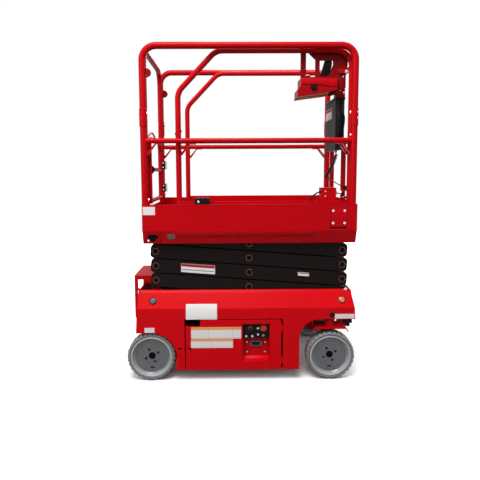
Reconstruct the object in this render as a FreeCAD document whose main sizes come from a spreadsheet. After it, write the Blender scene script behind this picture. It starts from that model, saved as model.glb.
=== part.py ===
import FreeCAD, Part
import math
import os
import re
import Sketcher

# A mini self-propelled scissor lift, folded down, in millimetres.
# +X is the front, where the steered wheels are, +Y is the far side, +Z is up.
# The origin is on the floor, half way between the axles.

SIZES = (
    # Each row is a name, a size in millimetres or degrees, and what it is.
    ("body_width", 760, "width over the side covers"),
    ("running_gap", 0.3, "clearance all round a shaft that turns"),
    ("swing_gap", 5, "clearance between pieces that pass each other"),
    ("plate", 6, "thickness of the chassis plates"),
    ("panel", 4, "thickness of the covers and the platform's sheets"),
    # Wheels
    ("tyre_diameter", 280, "outside the tread"),
    ("tyre_width", 80, "over the side walls"),
    ("tyre_wall", 21, "rim to tread"),
    ("tyre_corner", 10, "chamfer where tread meets side wall"),
    ("tyre_inset", 5, "tyre's outer face inside the side cover"),
    ("rim_inset", 4, "rim's edge inside the tyre's face"),
    ("rim_lip", 8, "width of the rim's bright edge"),
    ("rim_taper", 12, "slope from the rim's edge to the wheel disc, along the radius"),
    ("rim_slope", 20, "depth of that slope"),
    ("dish_depth", 25, "wheel disc behind the rim's edge"),
    ("dish_plate", 12, "thickness of the wheel disc"),
    ("axle_radius", 20, "all four stub axles"),
    ("axle_short", 4, "axle's end behind the face of the wheel disc"),
    ("hub_wall", 8, "boss behind the wheel disc, round the axle"),
    ("hub_length", 34, "boss behind the wheel disc"),
    ("bolt_reach", 19, "circle of the wheel bolt holes outside the axle"),
    ("bolt_hole", 8.5, "radius of a wheel bolt hole"),
    ("bolt_angle", 27, "first bolt hole from level"),
    # Side covers
    ("belly", 65, "height of the chassis's lower edge"),
    ("cover_tail", 85, "covers behind the rear axle"),
    ("cover_nose", 139, "covers in front of the front axle"),
    ("cover_slope", 22, "lean of the covers' rear edge"),
    ("cover_rake", 41, "lean of the covers' front edge"),
    ("cover_drop", 18, "covers' edge over the front wheel below the axle beam"),
    ("side_rise", 68, "upright side above the front wheel's opening"),
    ("shoulder_rise", 82, "height of the sloped shoulder"),
    ("shoulder_in", 45, "how far the shoulder leans in"),
    ("cover_edge", 12, "covers' upper edge above the shoulder"),
    ("skirt_gap", 6, "cover's edge above the rear wheel"),
    ("arch_gap", 8, "round cut outside the rear tyre"),
    ("arch_bend", 115, "round corner of the front wheel's opening"),
    ("steer_room", 43, "front wheel's opening behind the tyre"),
    ("post_lap", 2, "chassis's rear post past the round cut"),
    ("post_width", 49, "post between the rear wheel and the door"),
    ("pillar_width", 95, "pillar between the door and the front wheel"),
    ("bay_rise", 5, "door opening above the front wheel's"),
    # Doors
    ("door_gap_rear", 6, "gap between door and post"),
    ("door_gap_front", 10, "gap between door and cover at the hinge"),
    ("door_gap_top", 5, "gap above the door"),
    ("door_skin", 3, "thickness of the doors"),
    ("door_hem", 15, "folded edge behind a door's skin"),
    ("door_corner", 12, "rounding of the doors' upper front corner"),
    ("hinge_radius", 4, "door hinge barrels"),
    ("hinge_length", 40, "door hinge barrels"),
    ("hinge_offset", 36, "those barrels from the doors' lower and upper edges"),
    ("notch_length", 84, "cut-out at the door's upper rear corner"),
    ("notch_height", 36, "cut-out at the door's upper rear corner"),
    ("recess_offset", 73, "ground control recess behind the door opening's front edge"),
    ("recess_length", 164, "ground control recess"),
    ("recess_rise", 51, "ground control recess above the door's lower edge"),
    ("recess_drop", 26, "ground control recess below the door opening's top"),
    ("recess_depth", 42, "how far the recess goes in"),
    ("recess_wall", 2, "sheet of the recess"),
    ("panel_tall", 98, "the ground control's black panel"),
    ("panel_depth", 20, "that panel behind the cover's face"),
    ("dial_line", 35, "stop button and key switch below the panel's upper edge"),
    ("stop_place", 38, "stop button behind the recess's front edge"),
    ("stop_radius", 15, "red stop button"),
    ("key_place", 49, "key switch in front of the recess's rear edge"),
    ("key_radius", 11, "key switch"),
    ("button_depth", 16, "stop button in front of the panel"),
    ("key_depth", 12, "key switch in front of the panel"),
    # Chassis
    ("well_margin", 62, "arms' well inside the covers"),
    ("well_depth", 74, "well's floor below the covers' upper edge"),
    ("well_inset_rear", 15, "well's rear end inside the covers"),
    ("well_inset_front", 19, "well's front end inside the covers"),
    ("spine_margin", 234, "middle box inside the covers"),
    ("tail_gap", 21, "tail box inside the rear tyres"),
    ("tail_belly", 100, "lower edge of the box between the rear wheels"),
    ("tail_rise", 14, "upper edge of that box above the cover's edge"),
    ("track_angle", 54, "arm's angle when its roller is at the inner end of a track"),
    ("track_short", 10, "tracks' front ends from the well's"),
    ("bracket", 12, "thickness of the pivot brackets"),
    ("bracket_corner", 20, "rounding of the pivot brackets"),
    ("block_half", 45, "half the rear axle's mounting block along the lift"),
    ("block_low", 36, "that block below the axle"),
    ("block_high", 60, "that block above the axle"),
    ("block_depth", 10, "that block outside the tail box"),
    ("lashing_hole", 13, "radius of the tie-down holes"),
    ("lashing_place", 45, "tie-down holes from the tail box's lower corners"),
    ("pack_gap", 12, "battery pack and power unit outside the middle box"),
    ("pack_margin", 42, "battery pack inside the covers"),
    ("pack_room_rear", 74, "battery pack and power unit in front of the rear post"),
    ("pack_room_front", 117, "battery pack behind the front wheel's opening"),
    ("pack_height", 275, "battery pack"),
    ("power_margin", 17, "power unit behind the ground control recess"),
    ("power_length", 240, "power unit"),
    ("power_height", 210, "power unit"),
    ("lamp_radius", 18, "lamps and plugs on the shoulders"),
    ("lamp_depth", 5, "lamps and plugs on the shoulders"),
    ("lamp_inset", 79, "lamps behind the covers' front edge"),
    ("plug_inset", 101, "plugs in front of the covers' rear edge"),
    # Steering
    ("beam_half_length", 50, "half the front axle beam's length along the lift"),
    ("frame_inset", 22, "front axle's long plates inside the inner arms"),
    ("kingpin_radius", 20, "steering pivot"),
    ("kingpin_cap", 8, "closed end of the steering pivot's housing"),
    ("boss_radius", 31, "housing of the steering pivot"),
    ("boss_drop", 14, "that housing below the axle beam"),
    ("collar_step", 2, "collar under the housing, inside its radius"),
    ("fender_gap", 20, "plate over the front wheel above the tyre"),
    ("fender_plate", 12, "thickness of that plate"),
    ("fender_half", 87, "half that plate's length"),
    ("fender_side", 35, "that plate's edge outside the kingpin"),
    ("fender_lip", 18, "bent end of that plate"),
    ("lip_sheet", 4, "that end's thickness at its edge"),
    ("lever_room", 54, "plate over the wheel to the housing"),
    ("lever_length", 95, "kingpin to tie rod"),
    ("lever_half", 18, "half the steering lever's width"),
    ("lever_plate", 16, "thickness of the steering lever"),
    ("tie_radius", 10, "tie rod"),
    ("tie_eye", 18, "eye at the end of the tie rod"),
    ("tie_eye_tall", 24, "height of that eye"),
    ("tie_pin", 9, "pin through that eye"),
    ("tie_pin_tall", 30, "height of that pin"),
    ("leg_gap", 13, "knuckle's leg inside the tyre"),
    ("leg_plate", 20, "thickness of the knuckle's leg"),
    ("leg_half", 45, "half the leg's length, and how far it reaches below the axle"),
    ("motor_radius", 52, "drive motor at the hub"),
    ("motor_length", 60, "drive motor at the hub"),
    # Scissor arms
    ("arm_length", 1090, "pin to pin"),
    ("axle_trim", 50, "wheelbase less than an arm's length"),
    ("arm_depth", 78, "height of an arm's section"),
    ("arm_wide", 40, "width of an arm's section"),
    ("arm_clear", 7, "room between the levels when folded"),
    ("arm_gap", 6, "room between inner and outer arms"),
    ("arm_overhang", 30, "arm beyond its end pin"),
    ("arm_corner", 20, "rounding of an arm's end"),
    ("well_gap", 7.5, "pin ends inside the well's wall"),
    ("pin_inset", 27, "fixed pivot in front of the rear axle"),
    ("arm_rise", 8, "lowest arm's end above the well's floor"),
    ("pin_radius", 14, "all scissor pins"),
    ("pin_proud", 2.5, "pin end and boss outside the outer arm"),
    ("boss_ring", 19, "radius of the boss round a pin"),
    ("bore_gap", 0.5, "clearance of a pin in its arm"),
    ("tube_radius", 20, "cross tubes between the inner arms"),
    ("tube_offset", 70, "cross tubes from the end pins"),
    ("roller_radius", 24.7, "rollers in the tracks"),
    ("roller_gap", 2, "roller's face inside its track's edge"),
    ("lug_radius", 32, "half the length of a pivot bracket"),
    # Lift cylinder
    ("eye_reach", 220, "rod's pin along the second inner arm"),
    ("eye_radius", 28, "eyes of the lift cylinder"),
    ("eye_half", 22, "half the width of those eyes"),
    ("eye_trim", 2, "rod's eye and pin less than the barrel's"),
    ("lug_plate", 10, "plates that hold the rod's pin"),
    ("lug_gap", 4, "those plates outside the eye"),
    ("barrel_radius", 36, "lift cylinder"),
    ("barrel_length", 560, "lift cylinder, from its lower pin"),
    ("barrel_foot", 44, "barrel's start from its lower pin"),
    ("bore_foot", 110, "barrel's bore from its lower pin"),
    ("rod_foot", 130, "rod's end from the barrel's lower pin"),
    ("rod_radius", 21, "lift cylinder's rod"),
    # Platform
    ("tub_tail", 37, "platform behind the rear axle"),
    ("tub_nose", 140, "platform in front of the front axle"),
    ("tub_margin", 14, "platform inside the side covers"),
    ("deck_rise", 53, "platform's floor above the uppermost pins"),
    ("toe_drop", 14, "toe board below the floor"),
    ("toe_rise", 137, "toe board above the floor"),
    ("rear_toe_rise", 110, "rear toe board above the floor"),
    ("skirt_drop", 88, "sloped skirt below the floor"),
    ("skirt_in", 24, "how far the skirt leans in"),
    ("latch_place", 297, "extension's lock in front of the platform's rear edge"),
    ("latch_length", 85, "extension's lock"),
    ("latch_depth", 34, "extension's lock"),
    ("latch_rise", 110, "extension's lock above the floor"),
    ("latch_tall", 62, "extension's lock"),
    # Guardrails
    ("post_inset_rear", 16, "rear posts inside the platform's edge"),
    ("post_inset_front", 22, "front posts inside the platform's edge"),
    ("rail_rise", 1011, "centre of the top rail above the floor"),
    ("rail_radius", 19, "outer guardrail tube"),
    ("rail_bend", 78, "bend at the top corners"),
    ("mid_rise", 494, "centre of the middle rail above the floor"),
    ("mid_radius", 14.5, "middle rail tube"),
    ("sleeve_radius", 22, "joint sleeves on the posts"),
    ("sleeve_rise", 81, "sleeves above the middle rail"),
    ("sleeve_tall", 93, "joint sleeves on the posts"),
    ("brace_half", 12, "half a corner strap's width"),
    ("brace_sheet", 6, "thickness of a corner strap"),
    ("brace_foot", 60, "corner strap's foot below the middle rail"),
    ("brace_knee", 50, "corner strap's bend from the post"),
    ("brace_reach", 85, "corner strap's end from the post"),
    ("header_offset", 43, "legs of the rear hoop inside the outer guardrail"),
    ("header_drop", 6, "rear hoop's top below the top rail"),
    ("header_radius", 16, "rear hoop tube"),
    ("header_bend", 90, "bend of the rear hoop"),
    ("tie_bar", 7, "radius of the bars between hoop and guardrail"),
    ("tie_bar_low", 144, "lower of them below the middle rail"),
    ("tie_bar_high", 135, "upper of them below the hoop's top"),
    # Gate
    ("gate_offset", 45, "gate posts inside the hoop's legs"),
    ("gate_rise", 145, "lower bar of the gate above the floor"),
    ("gate_step", 190, "lower bar to middle bar"),
    ("gate_step_high", 185, "middle bar to upper bar"),
    ("gate_radius", 14, "gate tube"),
    ("gate_bend", 70, "bend at the gate's upper corners"),
    ("gate_hinge", 6, "radius of the gate's hinge barrels"),
    ("gate_barrel", 40, "length of the gate's hinge barrels"),
    ("gate_barrel_low", 25, "lower of them above the lower bar"),
    ("gate_barrel_high", 180, "upper of them above the lower bar"),
    ("gate_leaf", 4, "hinge leaf"),
    ("catch_half", 8, "half the gate catch's depth"),
    ("catch_low", 19, "gate catch below the middle bar"),
    ("catch_tall", 30, "gate catch"),
    # Extension deck
    ("slide_offset", 201, "extension's rear edge in front of the platform's"),
    ("slide_inset", 10, "extension's front edge behind the platform's"),
    ("slide_gap", 7, "extension's side inside the outer guardrail"),
    ("slide_rise", 10, "extension's floor above the platform's"),
    ("slide_sheet", 3, "extension's toe boards"),
    ("slide_deck", 4, "thickness of the extension's floor"),
    ("slide_toe_rise", 140, "extension's toe boards above its floor"),
    ("skid_inset", 25, "skids inside the extension's side"),
    ("skid_width", 30, "skids under the extension's floor"),
    ("skid_short", 22, "skids' front ends from the extension's"),
    ("hoop_gap", 1, "guardrail posts inside the toe boards"),
    ("hoop_overhang", 4, "rear posts' centres inside the extension's rear edge"),
    ("hoop_drop", 16, "extension's top rail below the outer one"),
    ("hoop_radius", 16, "extension guardrail tube"),
    ("hoop_bend", 90, "bends of the extension's guardrail"),
    ("slant_drop", 228, "rear post starts to lean, below the top rail"),
    ("slant_run", 218, "how far it leans forward"),
    ("stile_inset", 147, "front posts inside the corner posts"),
    ("bar_trim", 1, "cross bars' radius less than the posts'"),
    # Controls on the platform
    ("station_offset", 286, "control station's rear edge behind the front posts"),
    ("station_length", 208, "control station"),
    ("station_plate", 5, "hanger plate of the control station"),
    ("station_gap", 2, "that plate inside the top rail"),
    ("hook_plate", 4, "hook over the top rail"),
    ("clamp_rise", 53, "hanger plate's front part above the control box"),
    ("clamp_place", 7, "that part in front of the control box"),
    ("window_low", 23, "front window above the control box"),
    ("window_bend", 73, "where the front window starts to narrow"),
    ("window_high", 97, "front window's top above the control box"),
    ("window_rear", 109, "front window from the station's rear edge"),
    ("window_length", 75, "front window"),
    ("window_cut", 23, "length of its cut lower corner"),
    ("slot_low", 8, "rear window above the control box"),
    ("slot_bend", 101, "where the rear window's corner is cut off"),
    ("slot_high", 145, "rear window's top above the control box"),
    ("slot_rear", 31, "rear window from the station's rear edge"),
    ("slot_cut", 6, "length of the rear window's upper edge"),
    ("slot_length", 52, "rear window"),
    ("box_drop", 149, "top of the control box below the extension's top rail"),
    ("box_proud", 3, "near side of the control box outside the top rail's middle"),
    ("box_width", 125, "control box across the lift"),
    ("box_nose", 18, "control box's rear end behind the station"),
    ("box_tall", 104, "control box at its rear end"),
    ("box_chin", 65, "slope under the box's rear edge"),
    ("box_brow", 43, "slope over the box's rear end"),
    ("box_knee", 81, "control box where its floor bends"),
    ("box_front_tall", 66, "control box at its front end"),
    ("box_flat", 51, "that bend behind the front end"),
    ("stick_height", 114, "joystick above the box"),
    ("stick_half", 19, "half the joystick's thickness"),
    ("stick_lean", 26, "how far the joystick leans forward"),
    ("stick_place", 63, "joystick's foot behind the box's front end"),
    ("stick_inset", 80, "joystick inside the box's near side"),
    ("knob_radius", 16, "knob on the box's near side"),
    ("knob_depth", 8, "knob on the box's near side"),
    ("knob_place", 74, "knob in front of the station's rear edge"),
    ("knob_drop", 52, "knob below the top of the box"),
    ("clip_length", 6, "document box's clips"),
    ("clip_width", 24, "document box's clips"),
    ("clip_half", 10, "half the height of the clips"),
    ("clip_inset", 40, "document box's clips from its ends"),
    ("manual_depth", 53, "document box"),
    ("manual_inset", 57, "document box's near end inside the guardrail"),
    ("manual_length", 260, "document box"),
    ("manual_drop", 48, "document box's lower end below the middle rail"),
    ("manual_tall", 298, "document box"),
    ("junction_place", 79, "junction box behind the front posts"),
    ("junction_length", 87, "junction box"),
    ("junction_depth", 60, "junction box"),
    ("junction_rise", 60, "junction box above the extension's floor"),
    ("junction_tall", 155, "junction box"),
    ("socket_depth", 19, "cord socket inside the front post"),
    ("socket_rear", 18, "cord socket behind the front post's middle"),
    ("socket_front", 8, "cord socket in front of it"),
    ("socket_tall", 30, "cord socket"),
    ("socket_drop", 240, "cord socket below the document box"),
    ("coil_radius", 9, "curly part of the control cord"),
    ("lead_radius", 3.5, "straight part of the control cord"),
    # Step at the rear
    ("step_depth", 58, "rear face of the step behind the chassis"),
    ("step_half", 150, "half the step's width"),
    ("step_rise", 48, "step's top above the covers"),
    ("step_tall", 268, "step from top to bottom"),
    ("step_seat", 45, "step's top reaches over the well"),
    ("step_root", 26, "step's cheeks above the well's floor"),
    ("stile_wide", 25, "step's stiles across the lift"),
    ("stile_deep", 15, "step's stiles along the lift"),
    ("foot_tall", 40, "plates that join the stiles' feet to the chassis"),
    ("foot_bar", 22, "bar across the stiles' feet"),
    ("slot_margin", 26, "hand slots below the step's top"),
    ("slot_web", 14, "step's cheeks below the hand slots"),
    ("slot_end", 4, "hand slots behind the chassis's end plate"),
)

FOLLOWS = (
    # Each row is a name, how it follows from the sizes and from other rows, and what it is.
    ("wheelbase", "arm_length - axle_trim", "rear axle to front axle"),
    ("rim_diameter", "tyre_diameter - 2*tyre_wall", "where the tyre starts"),
    ("hub_radius", "axle_radius + hub_wall", "boss behind the wheel disc"),
    ("axle_end", "body_width/2 - tyre_inset - rim_inset - dish_depth - axle_short", "stub axle's end"),
    ("kingpin", "body_width/2 - tyre_inset - tyre_width/2", "steering pivot from the middle"),
    ("cover_rear", "wheelbase/2 + cover_tail", "rear edge of the covers, behind the origin"),
    ("cover_front", "wheelbase/2 + cover_nose", "front edge of the covers"),
    ("fender_height", "tyre_diameter + fender_gap", "underside of the plate over the front wheel"),
    ("fender_top", "fender_height + fender_plate", "upper side of that plate"),
    ("boss_low", "fender_top + lever_room", "underside of the steering pivot's housing"),
    ("beam_low", "boss_low + boss_drop", "underside of the front axle beam"),
    ("rear_skirt", "tyre_diameter + skirt_gap", "height of the cover's edge over the rear wheel"),
    ("front_skirt", "beam_low - cover_drop", "height of the cover's edge over the front wheel"),
    ("shoulder_low", "front_skirt + side_rise", "height where the sloped shoulder starts"),
    ("shoulder_high", "shoulder_low + shoulder_rise", "height where the sloped shoulder ends"),
    ("cover_top", "shoulder_high + cover_edge", "height of the covers' upper edge"),
    ("arch_radius", "tyre_diameter/2 + arch_gap", "round cut over the rear wheel"),
    ("arch_rear_edge", "wheelbase/2 - tyre_diameter/2 - steer_room", "front wheel's opening, rear edge"),
    ("post_rear", "wheelbase/2 - arch_radius + post_lap", "post behind the door, rear edge"),
    ("bay_rear", "post_rear - post_width", "rear edge of the door opening"),
    ("bay_front", "arch_rear_edge - pillar_width", "front edge of the door opening"),
    ("bay_top", "front_skirt + bay_rise", "upper edge of the door opening"),
    ("recess_front", "bay_front - recess_offset", "ground control recess, front edge"),
    ("recess_rear", "recess_front - recess_length", "ground control recess, rear edge"),
    ("recess_low", "belly + recess_rise", "ground control recess, lower edge"),
    ("recess_high", "bay_top - recess_drop", "ground control recess, upper edge"),
    ("panel_low", "recess_high - panel_tall", "lower edge of the ground control's black panel"),
    ("well_half", "body_width/2 - well_margin", "half the width of the well that the arms lie in"),
    ("well_floor", "cover_top - well_depth", "height of the well's floor"),
    ("well_rear", "cover_rear - well_inset_rear", "rear end of the well"),
    ("well_front", "cover_front - well_inset_front", "front end of the well"),
    ("under_floor", "well_floor - plate", "underside of the well's floor"),
    ("spine_half", "body_width/2 - spine_margin", "half the width of the middle box"),
    ("tail_half", "body_width/2 - tyre_inset - tyre_width - tail_gap", "half the box between the rear wheels"),
    ("tail_top", "rear_skirt + tail_rise", "upper edge of the tail's wide part"),
    ("leg_outer", "kingpin - tyre_width/2 - leg_gap", "knuckle's leg, outer face"),
    ("leg_inner", "leg_outer - leg_plate", "knuckle's leg, inner face"),
    ("outer_face", "well_half - well_gap - pin_proud - arm_wide", "outer arm's inner face"),
    ("inner_face", "outer_face - arm_gap - arm_wide", "inner arm's inner face"),
    ("level_pitch", "arm_depth + arm_clear", "height between the levels when folded"),
    ("pin_rear", "wheelbase/2 - pin_inset", "fixed pivot, behind the origin"),
    ("pin_height", "well_floor + arm_depth/2 + arm_rise", "fixed pivot, above the floor"),
    ("pin_top", "pin_height + 4*level_pitch", "uppermost pins"),
    ("track_rear", "arm_length*cos(track_angle) - pin_rear", "inner end of the rollers' tracks"),
    ("track_front", "well_front - track_short", "front end of the rollers' tracks"),
    ("tub_rear", "wheelbase/2 + tub_tail", "rear edge of the platform"),
    ("tub_front", "wheelbase/2 + tub_nose", "front edge of the platform"),
    ("tub_half", "body_width/2 - tub_margin", "half the platform's width"),
    ("deck_top", "pin_top + deck_rise", "height of the platform's floor"),
    ("toe_low", "deck_top - toe_drop", "lower edge of the toe board"),
    ("toe_high", "deck_top + toe_rise", "upper edge of the toe board"),
    ("rear_toe_high", "deck_top + rear_toe_rise", "upper edge of the rear toe board"),
    ("skirt_low", "deck_top - skirt_drop", "lower edge of the sloped skirt"),
    ("rail_rear", "tub_rear - post_inset_rear", "rear posts, behind the origin"),
    ("rail_front", "tub_front - post_inset_front", "front posts"),
    ("rail_half", "tub_half - panel - rail_radius", "outer guardrails from the middle"),
    ("rail_top", "deck_top + rail_rise", "centre of the top rail"),
    ("mid_height", "deck_top + mid_rise", "centre of the middle rail"),
    ("sleeve_low", "mid_height + sleeve_rise", "lower end of the sleeves"),
    ("sleeve_high", "sleeve_low + sleeve_tall", "upper end of the sleeves"),
    ("header_half", "rail_half - header_offset", "legs of the rear hoop from the middle"),
    ("header_top", "rail_top - header_drop", "centre of the rear hoop's top"),
    ("gate_half", "header_half - gate_offset", "gate posts from the middle"),
    ("gate_low", "deck_top + gate_rise", "lower bar of the gate"),
    ("gate_mid", "gate_low + gate_step", "middle bar of the gate"),
    ("gate_high", "gate_mid + gate_step_high", "upper bar of the gate"),
    ("slide_rear", "tub_rear - slide_offset", "rear edge of the extension deck"),
    ("slide_front", "tub_front - slide_inset", "front edge of the extension deck"),
    ("slide_half", "rail_half - rail_radius - slide_gap", "half the extension deck's width"),
    ("slide_top", "deck_top + slide_rise", "height of the extension's floor"),
    ("slide_toe_high", "slide_top + slide_toe_rise", "upper edge of the extension's toe boards"),
    ("hoop_half", "slide_half - slide_sheet - hoop_gap - hoop_radius", "extension guardrails from the middle"),
    ("hoop_rear", "slide_rear - hoop_overhang", "rear posts of the extension"),
    ("hoop_front", "slide_front - slide_sheet - hoop_gap - hoop_radius", "front posts of the extension"),
    ("hoop_top", "rail_top - hoop_drop", "centre of the extension's top rail"),
    ("hoop_crown", "hoop_top + hoop_radius", "upper side of that rail"),
    ("slant_low", "hoop_top - slant_drop", "where the rear post starts to lean"),
    ("stile_offset", "hoop_half - stile_inset", "front posts between the corners, from the middle"),
    ("station_rear", "hoop_front - station_offset", "control station, rear edge"),
    ("station_front", "station_rear + station_length", "control station, front edge"),
    ("plate_front", "hoop_front - hoop_radius - station_gap", "hanger plate, front edge"),
    ("station_face", "hoop_half - hoop_radius - station_gap - station_plate", "hanger plate from the middle"),
    ("box_top", "hoop_top - box_drop", "top of the control box"),
    ("box_near", "hoop_half + box_proud", "near side of the control box from the middle"),
    ("box_far", "box_near - box_width", "far side of the control box from the middle"),
    ("manual_front", "hoop_front - hoop_radius - clip_length", "document box, front face"),
    ("manual_rear", "manual_front - manual_depth", "document box, rear face"),
    ("manual_near", "hoop_half - manual_inset", "document box, near end from the middle"),
    ("manual_far", "manual_length - manual_near", "document box, far end from the middle"),
    ("manual_low", "mid_height - manual_drop", "document box, lower end"),
    ("manual_high", "manual_low + manual_tall", "document box, upper end"),
    ("junction_front", "hoop_front - junction_place", "junction box, front face"),
    ("junction_low", "slide_top + junction_rise", "junction box, lower end"),
    ("socket_low", "manual_low - socket_drop", "cord socket, lower end"),
    ("step_rear", "well_rear + plate + step_depth", "rear face of the step, behind the origin"),
    ("step_top", "cover_top + step_rise", "height of the step's top"),
    ("step_low", "step_top - step_tall", "height of the step's lower end"),
)

document = FreeCAD.newDocument("scissor_lift")
table = document.addObject("Spreadsheet::Sheet", "Sizes")
for row, (alias, size, meaning) in enumerate(SIZES, start=1):
    table.set(f"A{row}", alias)
    table.set(f"B{row}", str(size))
    table.set(f"C{row}", meaning)
    table.setAlias(f"B{row}", alias)
document.recompute()

ALIASES = {alias for alias, size, meaning in SIZES}
FORMULAS = {name: formula for name, formula, meaning in FOLLOWS}
WORD = re.compile(r"[a-z][a-z_]*")
NEAR = -1
FAR = 1
SIDES = (("near", NEAR), ("far", FAR))
TURNS = {
    "x": FreeCAD.Rotation(FreeCAD.Vector(0, 1, 0), 90),
    "y": FreeCAD.Rotation(FreeCAD.Vector(1, 0, 0), -90),
    "z": FreeCAD.Rotation(),
}
PLANES = {"x": "YZ_Plane", "y": "XZ_Plane", "z": "XY_Plane"}
reader = document.addObject("App::FeaturePython", "Reader")
nodes = []


def bound(text):
    """An expression whose named sizes are read from the table."""
    return WORD.sub(read_name, str(text))


def read_name(match):
    """The table's cell for a size, or the formula of one that follows from others."""
    word = match.group()
    if word in FORMULAS:
        return f"({bound(FORMULAS[word])})"
    return f"Sizes.{word}" if word in ALIASES else word


def value(text):
    """What an expression comes to."""
    result = reader.evalExpression(bound(text))
    return float(getattr(result, "Value", result))


def span(side, inner, outer):
    """Low and high Y of a piece between two distances from the middle."""
    if side == NEAR:
        return f"-({outer})", f"-({inner})"
    return inner, outer


def block(x, y, z):
    """A box between three pairs of expressions."""
    item = document.addObject("Part::Box", "Block")
    for side, axis, (low, high) in zip(("Length", "Width", "Height"), "xyz", (x, y, z)):
        item.setExpression(side, bound(f"({high}) - ({low})"))
        item.setExpression(f"Placement.Base.{axis}", bound(low))
    return item


def rod(axis, low, high, radius, **centre):
    """A round bar along an axis; centre gives the other two places."""
    item = document.addObject("Part::Cylinder", "Rod")
    item.Placement = FreeCAD.Placement(FreeCAD.Vector(), TURNS[axis])
    item.setExpression("Radius", bound(radius))
    item.setExpression("Height", bound(f"({high}) - ({low})"))
    item.setExpression(f"Placement.Base.{axis}", bound(low))
    for name, place in centre.items():
        item.setExpression(f"Placement.Base.{name}", bound(place))
    return item


def fuse(items):
    """Pieces joined into one."""
    result = document.addObject("Part::MultiFuse", "Fuse")
    result.Shapes = items
    result.Refine = True
    return result


def group(items):
    """Pieces of one sub-part that don't touch each other."""
    result = document.addObject("Part::Compound", "Group")
    result.Links = items
    return result


def cut(base, tools):
    """A piece less its cut-outs."""
    result = document.addObject("Part::Cut", "Cut")
    result.Base = base
    result.Tool = tools[0] if len(tools) == 1 else fuse(tools)
    result.Refine = True
    return result


def common(first, second):
    """What two pieces share."""
    result = document.addObject("Part::Common", "Common")
    result.Base = first
    result.Tool = second
    result.Refine = True
    return result


def outline(body, plane, points, offset):
    """A closed sketch of straight lines, each corner held by its own two sizes."""
    sketch = body.newObject("Sketcher::SketchObject", "Outline")
    origin_plane = [item for item in body.Origin.OriginFeatures if item.Role == PLANES[plane]][0]
    sketch.AttachmentSupport = [(origin_plane, "")]
    sketch.MapMode = "FlatFace"
    sketch.setExpression("AttachmentOffset.Base.z", bound(offset))
    corners = [FreeCAD.Vector(value(across), value(up), 0) for across, up in points]
    for index, corner in enumerate(corners):
        sketch.addGeometry(Part.LineSegment(corner, corners[(index + 1) % len(corners)]), False)
    for index in range(len(corners)):
        sketch.addConstraint(Sketcher.Constraint("Coincident", index, 2, (index + 1) % len(corners), 1))
    for index, (texts, corner) in enumerate(zip(points, corners)):
        for kind, text, place in zip(("DistanceX", "DistanceY"), texts, corner):
            number = sketch.addConstraint(Sketcher.Constraint(kind, -1, 1, index, 1, place))
            sketch.renameConstraint(number, f"{kind}{index}")
            sketch.setExpression(f"Constraints.{kind}{index}", bound(text))
    return sketch


def slab(axis, points, low, high, round_at=(), radius="0"):
    """An outline square to an axis, made solid from low to high; chosen corners are rounded."""
    body = document.addObject("PartDesign::Body", "Body")
    # The XZ plane faces -Y, so its pad starts at the high end.
    offset = f"-({high})" if axis == "y" else low
    sketch = outline(body, axis, points, offset)
    pad = body.newObject("PartDesign::Pad", "Pad")
    pad.Profile = sketch
    pad.setExpression("Length", bound(f"({high}) - ({low})"))
    if not round_at:
        return body
    document.recompute()
    picked = [corner_edge(pad.Shape, axis, [value(text) for text in points[index]]) for index in round_at]
    fillet = body.newObject("PartDesign::Fillet", "Fillet")
    fillet.Base = (pad, picked)
    fillet.setExpression("Radius", bound(radius))
    body.Tip = fillet
    return body


def corner_edge(shape, axis, corner):
    """Name of the straight edge along an axis that stands on a corner of the outline."""
    rest = [index for index in range(3) if "xyz"[index] != axis]
    for number, edge in enumerate(shape.Edges, start=1):
        start, end = edge.Vertexes[0].Point, edge.Vertexes[-1].Point
        if all(abs(start[index] - end[index]) < 1e-6 for index in rest):
            if all(abs(start[index] - place) < 1e-4 for index, place in zip(rest, corner)):
                return f"Edge{number}"
    raise ValueError(f"no edge at {corner}")


def tube(points, radius, bend="0"):
    """A round bar along straight runs joined by tangent arcs."""
    corners = [FreeCAD.Vector(*[value(text) for text in point]) for point in points]
    bends = bend if isinstance(bend, (list, tuple)) else [bend] * (len(corners) - 2)
    edges = []
    start = corners[0]
    for before, corner, after, size in zip(corners, corners[1:], corners[2:], bends):
        towards = (before - corner).normalize()
        onwards = (after - corner).normalize()
        half_turn = (math.pi - towards.getAngle(onwards)) / 2
        setback = value(size) * math.tan(half_turn)
        middle = (towards + onwards).normalize()
        reach = value(size) / math.cos(half_turn) - value(size)
        arc_start = corner + towards * setback
        arc_end = corner + onwards * setback
        edges.append(Part.makeLine(start, arc_start))
        edges.append(Part.Arc(arc_start, corner + middle * reach, arc_end).toShape())
        start = arc_end
    edges.append(Part.makeLine(start, corners[-1]))
    path = Part.Wire(edges)
    ring = Part.makeCircle(value(radius), corners[0], corners[1] - corners[0])
    item = document.addObject("Part::Feature", "Tube")
    item.Shape = path.makePipeShell([Part.Wire([ring])], True, False)
    return item


def node(label, item):
    """Names a finished sub-part."""
    item.Label = label
    nodes.append(item)
    return item


# Wheels

def wheel_face(side):
    """Turns a wheel made facing -Y so that it faces its own side."""
    return FreeCAD.Rotation(FreeCAD.Vector(0, 0, 1), 0 if side == NEAR else 180)


def revolved(points):
    """A ring about the Y axis; each point is its radius and its depth from the tyre's face."""
    body = document.addObject("PartDesign::Body", "Body")
    sketch = outline(body, "z", points, "0")
    turn = body.newObject("PartDesign::Revolution", "Revolution")
    turn.Profile = sketch
    turn.ReferenceAxis = (sketch, ["V_Axis"])
    turn.Angle = 360
    return body


def tyre():
    rim = "rim_diameter/2"
    tread = "tyre_diameter/2"
    return revolved((
        (rim, "0"), (f"{tread} - tyre_corner", "0"), (tread, "tyre_corner"),
        (tread, "tyre_width - tyre_corner"), (f"{tread} - tyre_corner", "tyre_width"), (rim, "tyre_width"),
    ))


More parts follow.
